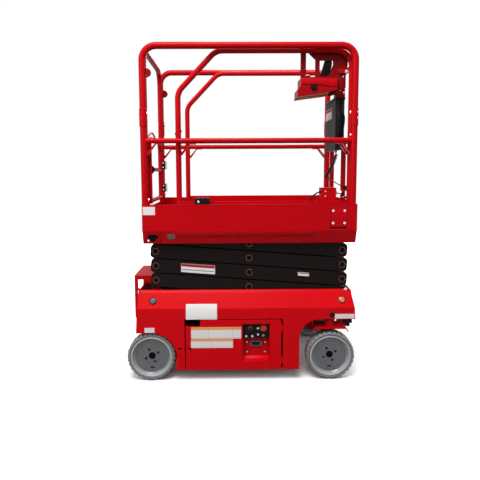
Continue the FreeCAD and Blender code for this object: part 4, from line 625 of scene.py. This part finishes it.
def add_ground_panel():
    """Face, buttons, switches, display, ledge and frame of the ground control."""
    def add(name, look, shape, bevel=0.0):
        piece(f"ground_{name}", "door_near", look, shape, bevel)

    def round_part(centre, profile, sides):
        return turned("y", centre, profile, sides, PANEL_FACE, -1)

    stop, key, button = (131.3, 305.7), (54.2, 305.7), (131, 262)
    switches = ((99, 305), (30, 258), (66, 258), (99, 268))
    add("face", "black", slab("y", (9, 165), (246, 338), 5, PANEL_FACE + 3, PANEL_FACE - 1.5), 0.6)
    mushroom = ((12.2, 3), (14.8, 12), (14.8, 15), (13.4, 17.5), (7, 18.4), (1, 18.8))
    add("stop", "button", round_part(stop, mushroom, 32))
    add("stop_ring", "yellow", round_part(stop, ((19.6, 1), (19.6, 2.4), (18.8, 3), (11, 3)), 36))
    seat = ((6.2, 1), (6.2, 2.6), (4.8, 3.6))
    add("switch_seats", "steel", every(round_part(centre, seat, 20) for centre in (*switches, button)))
    ring = ((13.2, 1), (13.2, 3.4), (11.8, 4.2), (10.6, 4.2), (10.6, 2))
    add("key_ring", "grey", round_part(key, ring, 28))
    toggles = round_part(key, ((10.4, 1), (10.4, 8), (9, 12.5), (3.6, 12.5), (3.6, 11)), 28)
    grip = ((52.6, 298), (55.8, 298), (55.8, 313), (52.6, 313))
    toggles += prism("y", grip, PANEL_FACE - 12, PANEL_FACE - 14.2)
    lever = ((3, 0), (9, 1.6), (12, 3))
    for across, up in switches:
        toggles += pipe([(across, PANEL_FACE - out, up + lift) for out, lift in lever], 2.0)
    toggles += round_part(button, ((4.2, 3), (4.2, 6), (2.6, 7)), 16)
    add("toggles", "black", toggles)
    add("meter", "grey", slab("y", (57, 122), (194, 223), 4, PANEL_BACK + 0.5, -345), 0.8)
    add("meter_window", "black", slab("y", (63, 112), (199, 218), 2, -344.5, -345.8))
    places = ((36, 214), (36, 156), (21, 126), (142, 155), (157, 126), (142, 214))
    add("screws", "steel", heads(screw, "y", places, PANEL_BACK, -1, 5))
    outline = ((PANEL_BACK, 116), (-376, 116), (-376, 120), (-350, 121), (PANEL_BACK, 134))
    add("ledge", "cover_red", prism("x", outline, 7, 167), 0.5)
    bars = (((5, 9), (116, 341)), ((165, 169), (116, 341)), ((5, 169), (337, 341)), ((5, 169), (116, 120)))
    add("frame", "cover_red", every(slab("y", across, up, 1.5, -378, -379.6) for across, up in bars), 0.4)


def add_chassis_ends():
    """Bolts on the end plates, a socket flap and reflectors at the rear, and the step's tread."""
    bolts = []
    for side in (NEAR, FAR):
        places = ((side * 300, 400), (side * 340, 400), (side * 200, 490), (side * 300, 490))
        bolts += heads(bolt, "x", places, FRONT_PLATE, 1, 7) + heads(bolt, "x", places, REAR_PLATE, -1, 7)
    piece("end_bolts", "chassis", "steel", bolts)
    flap = slab("x", (-60, 60), (215, 275), 8, REAR_PLATE, REAR_PLATE - 4)
    piece("charger_flap", "chassis", "black", flap, 1.2)
    reflectors = every(slab("x", (across - 24, across + 24), (228, 252), 11.5, REAR_PLATE, REAR_PLATE - 7)
                       for across in (-215, 215))
    piece("rear_reflectors", "chassis", "amber", reflectors, 1.5)
    shape = []
    for row in range(9):
        for column in range(22):
            place = (-646 + row * 11, -138 + column * 13 + (row % 2) * 6)
            in_slot = -637 < place[0] < -595 and abs(place[1]) < 5
            if not in_slot and place[0] < -552:
                shape += lozenge(place, STEP_TOP, 45 if (row + column) % 2 else -45, 4.6, 1.4, 0.9)
    piece("step_tread", "chassis", "red", shape, flat=True)


def add_deck_stop(name, side):
    """A plate with a small roller at the front end of the arms' well."""
    outline = ((590, 510.5), (612, 510.5), (620, 521), (616, 533), (604, 528))
    roller = turned("y", (612, 527), ((8, 318), (9, 319), (9, 329), (8, 330)), 24, 0, side)
    piece(f"deck_stop_{name}", "chassis", "chrome", prism("y", outline, side * 320, side * 325) + roller, 0.6)


def add_steering_details(name, side):
    """A grease cap on a steering lever's end, and the block and arm at that end of the tie rod."""
    depth = sorted((side * 316, side * 354))
    cap = slab("z", (606, 634), depth, 4, 311.4, 328.4)
    piece(f"lever_cap_{name}", f"knuckle_{name}", "black", cap, 0.8)
    piece(f"tie_rod_block_{name}", "tie_rod", "black", slab("z", (594, 648), depth, 5, 330, 353), 1.5)
    # The arm takes the red paint darkened as painted shade.
    arm = slab("z", (562, 596), sorted((side * 320, side * 350)), 3, 332, 352)
    piece(f"tie_rod_arm_{name}", "tie_rod", "shaded_red", arm, 1.5)


# Scissor arms

ARM_STEP = 85
ARM_LENGTH = 1090
FOLD = asin(ARM_STEP / ARM_LENGTH)
PIN_REAR = -493
PIN_FRONT = PIN_REAR + ARM_LENGTH * cos(FOLD)
PIN_LOW = 497
BOSS_FACE = 310.5
CYLINDER_LEAN = radians(6.7173)
ARM_SIGNS = (
    # name, look, ends along X, low and high edge, how far proud of the first plate
    ("sign_arm", "white", (-347, -149), (621, 672), 0.0),
    ("sign_arm_head", "label_red", (-345.5, -150.5), (655, 670.5), 0.5),
    ("sign_arm_line", "line", (-341, -155), (636, 637.6), 0.4),
    ("sign_arm_small", "white", (336, 401), (600, 621), 0.0),
    ("sign_arm_small_line", "label_red", (338, 399), (614, 619), 0.5),
)


def add_arm_details():
    """Pin ends in thin rings, their near-black faces painted shade, weld beads round the bosses, and blank
    labels in line with one arm.
    """
    ring = ((18.6, -1.2), (18.6, 0.9), (16.4, 0.9), (16.4, -1.2), (18.6, -1.2))
    end = ((16.2, -0.5), (16.2, 0.4), (14.6, 1.2), (2, 1.2))
    bead = ((4.6, -2.9), (3.4, -1.1), (1, -0.6))
    for level in range(4):
        low = PIN_LOW + ARM_STEP * level
        high = low + ARM_STEP
        pins = ((PIN_FRONT, low), ((PIN_REAR + PIN_FRONT) / 2, (low + high) / 2), (PIN_REAR, high))
        rings, discs, welds = [], [], []
        for side in (NEAR, FAR):
            face = side * BOSS_FACE
            for pin in pins:
                rings += turned("y", pin, ring, 32, face, side, False)
                discs += turned("y", pin, end, 28, face, side)
                welds += every(turned("y", on_circle(pin, 20, 30 * spoke + 8), bead, 8, face, side)
                               for spoke in range(12))
        body = f"outer_{level + 1}"
        piece(f"pin_rings_{level + 1}", body, "ring", rings)
        # The pin ends are near-black, painted shade.
        piece(f"pin_ends_{level + 1}", body, "shadow", discs)
        piece(f"boss_welds_{level + 1}", body, "arm", welds)
    for name, look, across, up, proud in ARM_SIGNS:
        middle = (across[0] + across[1]) / 2
        outline = [(place, height - (place - middle) * tan(FOLD))
                   for place, height in round_outline(across, up, 2.5)]
        piece(name, "outer_2", look, prism("y", outline, -307.8, -308.7 - proud))


def add_cylinder():
    """Gland, collar, hose end and pipe of the lift cylinder, set out along its own line."""
    turn = Matrix.Translation((PIN_FRONT, 0, PIN_LOW)) @ Matrix.Rotation(CYLINDER_LEAN, 4, "Y")
    shape = turned("x", (0, 0), ((38, -562), (38, -530), (36, -528)), 40)
    shape += turned("x", (0, 0), ((37.5, -60), (37.5, -44), (34, -42)), 40)
    shape += turned("z", (-90, 0), ((11, 30), (11, 44), (8, 46)), 18)
    piece("cylinder_gland", "lift_barrel", "steel", moved(turn, shape))
    line = [(-90, 0, 46), (-96, 4, 56), (-120, 16, 60), (-170, 24, 50), (-240, 26, 42), (-330, 26, 40),
            (-430, 24, 39)]
    hose = moved(turn, pipe(smooth_line(line, 6), 5, 10))
    piece("cylinder_pipe", "lift_barrel", "black", hose)


# Platform

DECK_TOP = 890
SLIDE_TOP = 900
SKIRT_TOP = 876
SKIRT_SLOPE = (24, 74)
SKIRT_LEAN = atan2(*SKIRT_SLOPE)
POST_SIDE = 343
REAR_POST = -541
FRONT_POST = 638
SLIDE_POST_SIDE = 297


def add_treads():
    """Raised marks on the open part of the platform's floor and on the extension's floor."""
    for name, body, top, rows, columns, start, pitch, end in (
            ("platform_tread", "platform", DECK_TOP, 46, 30, (-545, -350), (26, 24), -362),
            ("extension_tread", "extension", SLIDE_TOP, 38, 25, (-344, -300), (26, 25), 636)):
        shape = []
        for row in range(rows):
            for column in range(columns):
                place = (start[0] + row * pitch[0] + (column % 2) * 13, start[1] + column * pitch[1])
                if place[0] < end:
                    shape += lozenge(place, top, 45 if (row + column) % 2 else -45, 9, 2.6, 1.2)
        piece(name, body, "red", shape, flat=True)


def skirt_point(side, up, proud):
    """A point on the sloped skirt at a height, proud of it by a distance."""
    depth = TOE_FACE - (SKIRT_TOP - up) * SKIRT_SLOPE[0] / SKIRT_SLOPE[1] + proud * cos(SKIRT_LEAN)
    return side * depth, up - proud * sin(SKIRT_LEAN)


def skirt_screw(side, across, up, proud, radius=5):
    place = Matrix.Translation((across, *skirt_point(side, up, proud)))
    tilt = Matrix.Rotation(-side * SKIRT_LEAN, 4, "X")
    return moved(place @ tilt, screw("y", (0, 0), 0, side, radius))


def skirt_patch(side, outline, proud):
    """A thin patch that lies on the sloped skirt; the outline's points are a place along it and a height."""
    return lofted([[(across, *skirt_point(side, up, depth)) for across, up in outline]
                   for depth in (-0.3, proud)])


def add_toe_details(name, side):
    """Bolt plates with a painted shadow round them, screws, strips, openings filled with painted shade, and
    hems along a side of the platform.
    """
    def add(start, look, shape, bevel=0.0):
        piece(f"{start}_{name}", "platform", look, shape, bevel)

    add("toe_plate", "red", slab("y", (510, 601), (895, 1003), 5, side * 365.8, side * 368.8), 0.8)
    # A near-black sheet round and under the bolt plate, painted shadow of its recess.
    add("toe_plate_shadow", "shadow", slab("y", (507.5, 602.5), (887, 1004.5), 6, side * 365.4, side * 366.3))
    places = ((523, 988), (588, 988), (523, 918), (588, 918))
    add("toe_bolts", "zinc", heads(bolt, "y", places, side * 368.8, side, 5.2))
    places = (-203, -58, 87, 229, 377, 520)
    add("skirt_screws", "dark", every(skirt_screw(side, across, 858, 3) for across in places))
    add("skirt_bolt", "zinc", skirt_screw(side, -526, 821, 0, 7))
    strip = [skirt_point(side, up, proud) for up, proud in ((873, 0.2), (873, 3), (847, 3), (847, 0.2))]
    add("skirt_strip", "red", prism("x", strip, -373, 430), 0.6)
    # The opening is a near-black patch, painted shade in the hole; the seam is a dark joint.
    opening = ((-529, 855), (-480, 857), (-468, 848), (-469, 834), (-482, 829), (-490, 816), (-505, 813),
               (-514, 817), (-516, 828), (-529, 831))
    seam = ((-459.4, 873), (-456.8, 873), (-456.8, 806), (-459.4, 806))
    add("skirt_holes", "shadow", skirt_patch(side, opening, 0.7) + skirt_patch(side, seam, 0.5))
    add("skirt_oval", "oval", skirt_patch(side, round_outline((-418, -370), (829, 860), 13), 0.7))
    add("toe_hem", "red", slab("y", (-555, 658), (1021, 1027), 2.9, side * 362.5, side * 366.6), 0.8)


def weld(centre, radius):
    """A ring of beads round a post's foot."""
    bead = ((3.8, -1), (3.2, 1), (1, 2.4))
    return every(turned("z", on_circle(centre, radius, 18 * turn), bead, 8, centre[2]) for turn in range(20))


def add_post_details(name, side):
    """Weld beads, sleeve ends, bolts and a hook of the guardrail posts."""
    post = side * POST_SIDE
    shape = []
    for across in (REAR_POST, FRONT_POST):
        shape += weld((across, post, DECK_TOP + 1), 19.5)
        for up in (1466, 1557):
            shape += turned("z", (across, post), ((22, -1.5), (22, 1.5)), 32, up)
    within = [([(min(x, FRONT_LIMIT), y, z) for x, y, z in points], faces) for points, faces in shape]
    piece(f"post_welds_{name}", "platform", "red", within)
    shape = bolt("x", (post, 1537), -562.5, -1, 7) + bolt("x", (post, 1537), -519.5, 1, 7)
    shape += bolt("x", (post, 1539), 616.5, -1, 7) + bolt("x", (post, 1413), 619, -1, 6)
    shape += bolt("x", (post, 1054), -522, 1, 7)
    shape += heads(bolt, "y", ((652, 1539), (652, 1506)), side * 358.5, side, 5)
    piece(f"sleeve_bolts_{name}", "platform", "zinc", shape)
    # The hook takes the red paint darkened as painted shade.
    line = [(across, post, up) for across, up in ((-526, 1777), (-511, 1776), (-497, 1764), (-496, 1748),
                                                  (-508, 1735), (-526, 1734))]
    outline = ((-524, 1738), (-506, 1740), (-499, 1752), (-503, 1766), (-524, 1772))
    shape = pipe(smooth_line(line, 5), 5, 12) + prism("y", outline, side * 341, side * 345)
    piece(f"post_hook_{name}", "platform", "shaded_red", shape)
    post = side * SLIDE_POST_SIDE
    shape = every(weld((across, post, SLIDE_TOP + 1), 16.5) for across in (-352, 630))
    piece(f"extension_welds_{name}", "extension", "red", shape)
    shape = bolt("x", (post, 1426), -367.5, -1, 5.5) + bolt("x", (post, 1440), -336.5, 1, 5.5)
    piece(f"extension_bolts_{name}", "extension", "dark", shape)


def add_gate_details():
    """Hinges, catch, handle and caps of the gate, and the strip that it closes against."""
    piece("gate_knuckles", "gate", "zinc", every(
        turned("z", (REAR_POST, 277.7), ((6.2, 0), (6.2, 12.8)), 16, low + part * 13.5)
        for low in (1060, 1215) for part in range(3)))
    plates, screws = [], []
    for low in (1073, 1228):
        plates += slab("y", (-533, -497), (low, low + 56), 3, 247, 250)
        screws += turned("z", (-499, 248.5), ((5.4, 3), (5.4, 53)), 14, low)
        screws += heads(screw, "y", ((-519, low + 13), (-519, low + 43)), 247.4, -1, 5)
    piece("gate_hinge_plates", "gate", "dark", plates, 0.6)
    piece("gate_hinge_screws", "gate", "zinc", screws)
    outline = (
        (-540, 1248), (-516, 1249), (-503, 1241), (-499, 1221), (-507, 1204), (-520, 1194), (-540, 1194))
    shape = prism("y", outline, -262, -244) + turned("x", (-253, 1226), ((7, -503), (7, -496), (4, -494)), 18)
    piece("gate_catch", "gate", "black", shape, 1)
    cap = ((14.2, 1023.5), (14.2, 1022), (12, 1019.5), (4, 1019))
    shape = turned("z", (REAR_POST, -255), cap) + turned("z", (REAR_POST, 255), cap)
    piece("gate_caps", "gate", "black", shape)
    line = [(REAR_POST, across, up) for across, up in ((-190, 1416), (-150, 1436), (-100, 1449), (-59, 1450),
                                                       (-10, 1446), (30, 1434), (62, 1416))]
    piece("gate_handle", "gate", "red", pipe(smooth_line(line, 6), 6, 12))
    piece("gate_stop", "platform", "red", slab("y", (-529, -505), (1028, 1392), 3, -296, -299), 0.8)


# Extension deck and controls

STATION_TOP = 1738
STATION_FACE = -299.5
STATION_STOP = (392, -232)
CASE_FRONT = 554


def add_latch():
    """Two blocks of the extension's latch on the near toe board, with its button and its release."""
    shape = slab("y", (-253, -226), (1024, 1061.5), 4, -361, -364.5)
    shape += slab("y", (-224.5, -175.5), (1024, 1061.5), 4, -361, -363.5)
    piece("latch_face", "platform", "black", shape, 1)
    button = turned("y", (-238, 1042), ((6.5, -364), (6.5, -366), (4, -367)))
    piece("latch_button", "platform", "white", button)
    piece("latch_release", "platform", "button", slab("z", (-221, -205), (-356, -342), 3, 1061, 1064.5), 0.8)


def add_junction_box():
    """Lid, screws, cables and fittings of the junction box."""
    shape = slab("y", (466, 549), (962, 1113), 5, -254, -251)
    shape += slab("z", (463, 552), (-315, -253), 2, 1112.5, 1116)
    piece("junction_lid", "extension", "red", shape, 1)
    places = ((476, 972), (539, 972), (476, 1103), (539, 1103))
    piece("junction_screws", "extension", "steel", heads(screw, "y", places, -251, 1, 5))
    hose_end = (-292, 1088)
    union = ((9, 549), (9, 556), (11.5, 557), (11.5, 564), (9, 565), (9, 572), (10.5, 576), (10.5, 584),
             (7, 588))
    shape = heads(screw, "y", ((489, 1095), (489, 1068)), -314, -1, 4) + turned("x", hose_end, union, 20)
    for along, centre in ((600, (-284, 1063)), (624, (-276, 1056))):
        shape += turned("x", centre, ((8.6, -3.5), (8.6, 3.5)), 18, along)
    piece("junction_fittings", "extension", "zinc", shape)
    line = [(586, -292, 1088), (594, -291, 1084), (598, -287, 1070), (606, -282, 1060), (620, -277, 1057),
            (634, -274, 1052), (637, -274, 1036), (637, -274, 1012)]
    shape = pipe(smooth_line(line, 5), 6.5, 12) + turned("x", hose_end, ((7.5, 583), (7.5, 590)), 16)
    piece("junction_hose", "extension", "black", shape)
    line = [(468, -300, 1092), (452, -302, 1091), (436, -303, 1082), (420, -303, 1070), (409, -303, 1054),
            (404, -303, 1038), (402, -306, 1018), (402, -308, 990), (402, -309, 950)]
    shape = pipe(smooth_line(line, 5), 4, 10)
    shape += turned("x", (-300, 1092), ((7.5, 465), (7.5, 458), (5, 455)), 16)
    piece("junction_cable", "extension", "black", shape)


def add_control_station():
    """The control box's band, top, joystick and knob, its board, and the clamps that hold it."""
    def add(name, look, shape, bevel=0.0):
        piece(name, "extension", look, shape, bevel)

    outline = [(343, 1733), (544, 1733), (550, 1728), (551, 1692), (536, 1686), (512, 1687), (486, 1690),
               (464, 1695), (446, 1699), (343, 1700)]
    add("station_band", "red", prism("y", outline, STATION_FACE, STATION_FACE - 4), 1.6)
    lid = slab("z", (347, 549), (-297, -178), 6, STATION_TOP - 2.5, STATION_TOP + 0.5)
    add("station_top", "black", lid, 1)
    add("station_joystick", "black", joystick())
    knob = ((20, 0), (20, 2), (13, 2), (13, 15), (17, 15), (17, 22), (10, 25))
    add("station_stop", "button", turned("z", STATION_STOP, knob, 28, STATION_TOP))
    ring = ((22, 0), (22, 1.5), (21, 2))
    add("station_stop_ring", "yellow", turned("z", STATION_STOP, ring, 28, STATION_TOP))
    shape = []
    for across, depth in ((366, -200), (392, -196), (424, -200), (438, -268), (528, -200)):
        shape += turned("z", (across, depth), ((7, 0), (7, 3), (5, 4)), 18, STATION_TOP)
        lever = ((0, 3), (2, 10), (4, 15))
        shape += pipe([(across + lean, depth, STATION_TOP + up) for lean, up in lever], 2.5)
    add("station_switches", "steel", shape)
    outline = ((322, 1625.5), (503, 1649), (503, 1655), (326, 1632), (322, 1632))
    add("station_board", "board", prism("y", outline, -298, -177), 0.8)
    outline = [(454, 1752), (500, 1752), (511, 1772), (519, 1797), (522, 1820), (516, 1835), (480, 1834),
               (472, 1809), (463, 1776)]
    add("hanger_grip", "black", prism("y", outline, -278.5, -284), 1.6)
    knob = ((18.8, 0), (18.8, 4.5), (16, 9.8), (11, 10.3), (9, 9.1))
    add("station_knob", "black", turned("y", (418, 1684), knob, 28, STATION_FACE, -1))
    shape = heads(bolt, "y", ((534, 1680), (577, 1674), (598, 1660)), -262, -1, 4.6)
    shape += screw("y", (588, 1746), -275, -1, 5) + bolt("y", (604, 1771), -290, -1, 7.5)
    add("station_bolts", "zinc", shape)
    shape = slab("y", (560, 608), (1760, 1790), 6, -290, -262)
    shape += prism("y", ((560, 1792), (612, 1792), (612, 1788), (560, 1788)), -293, -262)
    add("station_clamp", "red", shape, 1.4)
    # The fitting and the bracket take the red paint darkened as painted shade.
    outline = ((562, 1764), (600, 1764), (604, 1758), (604, 1684), (592, 1672), (566, 1672), (562, 1684))
    add("station_fitting", "shaded_red", prism("y", outline, -275, -235), 3)
    outline = ((505, 1668), (551, 1668), (551, 1690), (566, 1692), (604, 1680), (604, 1650), (580, 1640),
               (540, 1646), (512, 1636), (505, 1640))
    shape = prism("y", outline, -262, -256)
    outline = ((553, 1690), (570, 1690), (606, 1662), (606, 1634), (592, 1630), (553, 1634))
    shape += prism("y", outline, -256, -200)
    shape += every(slab("y", (low, low + 22), (1648, 1662), 5, -266, -260) for low in (516, 548))
    add("station_bracket", "shaded_red", shape, 1.5)


def joystick():
    """A leaning grip, built up in rounded sections over a rubber boot."""
    sections = (
        # height, middle along X, half the length, half the width
        (1737, 489, 30, 28), (1741, 489, 31, 29), (1746, 490, 25, 23), (1752, 492, 22.5, 21.5),
        (1762, 494, 21, 20.5), (1785, 500, 22, 20.5), (1812, 506, 23.5, 21), (1832, 511, 23, 20.5),
        (1844, 514, 19, 17), (1850.5, 515, 10, 9),
    )
    rings = []
    for height, middle, half_x, half_y in sections:
        ring = []
        for angle in round_angles(24):
            wide = 1 / (abs(cos(angle)) ** 3 + abs(sin(angle)) ** 3) ** (1 / 3)
            ring.append((middle + half_x * wide * cos(angle), -220 + half_y * wide * sin(angle), height))
        rings.append(ring)
    return lofted(rings)


def add_document_box():
    """Lid, label and clip of the document case, and the black bag that hangs on its near side."""
    outline = ((553.5, 1622), (553.5, 1636), (558, 1640), (606, 1640), (612, 1634), (612, 1622))
    piece("document_lid", "extension", "black", prism("y", outline, -240.5, 21), 1.2)
    for part, look, across, up, radius, proud in (
            ("label", "white", (-155, 8), (1523, 1588), 3, (0.4, 1.4)),
            ("label_head", "label_red", (-153.5, 6.5), (1569, 1584), 2, (0, 0.6)),
            ("label_edge", "orange", (-153.5, 6.5), (1584.5, 1587.2), 1, (0, 0.6))):
        shape = slab("x", across, up, radius, CASE_FRONT + proud[0], CASE_FRONT + proud[1])
        piece(f"document_{part}", "extension", look, shape)
    bag = piece("document_bag", "extension", "bag", bag_shell())
    rounding = bag.modifiers.new("rounding", "SUBSURF")
    rounding.levels = 1
    rounding.render_levels = 1
    piece("document_clip", "extension", "zinc", slab("y", (576, 596), (1630, 1641), 3, -241, -246), 0.8)


def bag_shell():
    """A slack bag on the case's near side, lofted from its mouth down to its foot, its belly in folds."""
    sections = (
        # height, rear edge, front edge, belly
        (1637, 557, 596, 5), (1630, 556, 597, 9), (1600, 556, 597, 12), (1572, 556, 597.5, 14),
        (1552, 556, 600, 17), (1540, 556, 608, 21), (1521, 556, 612, 24), (1495, 556, 611, 24),
        (1460, 556, 607, 21), (1425, 556, 602, 17), (1395, 557, 598, 13), (1368, 558, 595, 10),
        (1348, 559, 590, 7), (1338, 561, 586, 4),
    )
    rings = []
    for height, rear, front, belly in sections:
        ring = []
        middle, half = (rear + front) / 2, (front - rear) / 2
        for angle in round_angles(28):
            across, out = cos(angle), sin(angle)
            fold = 1.2 * sin(across * 7 + height * 0.055) + 0.9 * sin(height * 0.16 + across * 3)
            depth = (belly + fold) * out ** 0.6 if out > 0 else -0.8
            ring.append((middle + half * across, -240.2 - depth, height))
        rings.append(ring)
    return lofted(rings)


# Control cord, with its coiled part first and then its straight lead

COIL_ROUTE = ((596, -120, 1336), (594, -120, 1302), (573, -127, 1252), (549, -133, 1205), (528, -134, 1176))
LEAD_ROUTE = ((528, -134, 1176), (545, -156, 1163), (562, -184, 1150), (580, -214, 1136), (597, -240, 1124),
              (614, -265, 1110))
CORD_DIAMETER = 5.6
HELIX_RADIUS = 7.4
HELIX_PITCH = 6.6
TURN_POINTS = 14
STRAIGHT_POINTS = 36


def spaced(line, step):
    """Points at even distances along a line, and the direction of the line at each."""
    points = [Vector(point) for point in line]
    found, directions, due = [], [], 0.0
    for first, second in zip(points, points[1:]):
        length = (second - first).length
        while length > 0 and due <= length:
            found.append(first.lerp(second, due / length))
            directions.append((second - first).normalized())
            due += step
        due -= length
    return found, directions


def cord_points():
    """The cord's centre line: straight out of the case, then wound round its route, then along the lead."""
    centres, directions = spaced(smooth_line(COIL_ROUTE, 24), HELIX_PITCH / TURN_POINTS)
    angles, wound = [], 0.0
    for index in range(len(centres)):
        angles.append(wound)
        ease = min(1.0, max(0, index - STRAIGHT_POINTS) / (2 * TURN_POINTS))
        wound += 2 * pi / TURN_POINTS * ease * ease * (3 - 2 * ease)
    frames = carried(directions)
    onward = Vector(LEAD_ROUTE[1]) - centres[-1]
    first, second = frames[-1]
    shift = atan2(-onward.dot(first), onward.dot(second)) - angles[-1]
    points = []
    for index, (centre, angle, (first, second)) in enumerate(zip(centres, angles, frames)):
        if angle >= 0.4 or index % 4 == 0:
            spoke = first * cos(angle + shift) + second * sin(angle + shift)
            points.append(centre + spoke * HELIX_RADIUS)
    return points + [Vector(point) for point in LEAD_ROUTE[1:]]


def add_cord():
    """The control cord, with a boot at the case and a plug at its socket."""
    points = cord_points()
    item = curve("control_cord", [point / 1000 for point in points], 3)
    item.data.bevel_depth = CORD_DIAMETER / 2000
    item.data.bevel_resolution = 2
    item.data.use_fill_caps = True
    item.data.materials.append(LOOKS["cord"])
    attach(item, "extension")
    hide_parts("cord_coil", "cord_lead")
    line = [Vector(point) for point in smooth_line(points, 4)]
    start = points[0]
    boot = ((6.6, 1), (6.6, -4), (5.6, -6), (5.6, -8), (4.4, -14), (3.2, -17))
    piece("cord_boot", "extension", "black", turned("z", (start.x, start.y), boot, 18, start.z))
    lead_end = Vector(LEAD_ROUTE[-1])
    towards = (Vector(LEAD_ROUTE[-2]) - lead_end).normalized()
    turn = Matrix.Translation(lead_end) @ towards.to_track_quat("Z", "Y").to_matrix().to_4x4()
    plug = turned("z", (0, 0), ((7.5, -3), (7.5, 9), (6.2, 10), (6.2, 14), (4.6, 26), (3.3, 34)), 18)
    piece("cord_plug", "extension", "black", moved(turn, plug))


add_camera()
add_cord()
add_studio()
dress_nodes()
for end, place in ENDS:
    for name, side in SIDES:
        add_tyre(f"{end}_{name}", side, (place, WHEEL_HEIGHT))
        add_hub(f"{end}_{name}", side, (place, WHEEL_HEIGHT))
for name, side in SIDES:
    add_side_signs(name, side)
    add_chassis_details(name, side)
    add_door_details(name, side)
    add_deck_stop(name, side)
    add_steering_details(name, side)
    add_toe_details(name, side)
    add_post_details(name, side)
add_data_plate()
add_ground_panel()
add_chassis_ends()
add_arm_details()
add_cylinder()
add_treads()
add_gate_details()
add_latch()
add_junction_box()
add_control_station()
add_document_box()
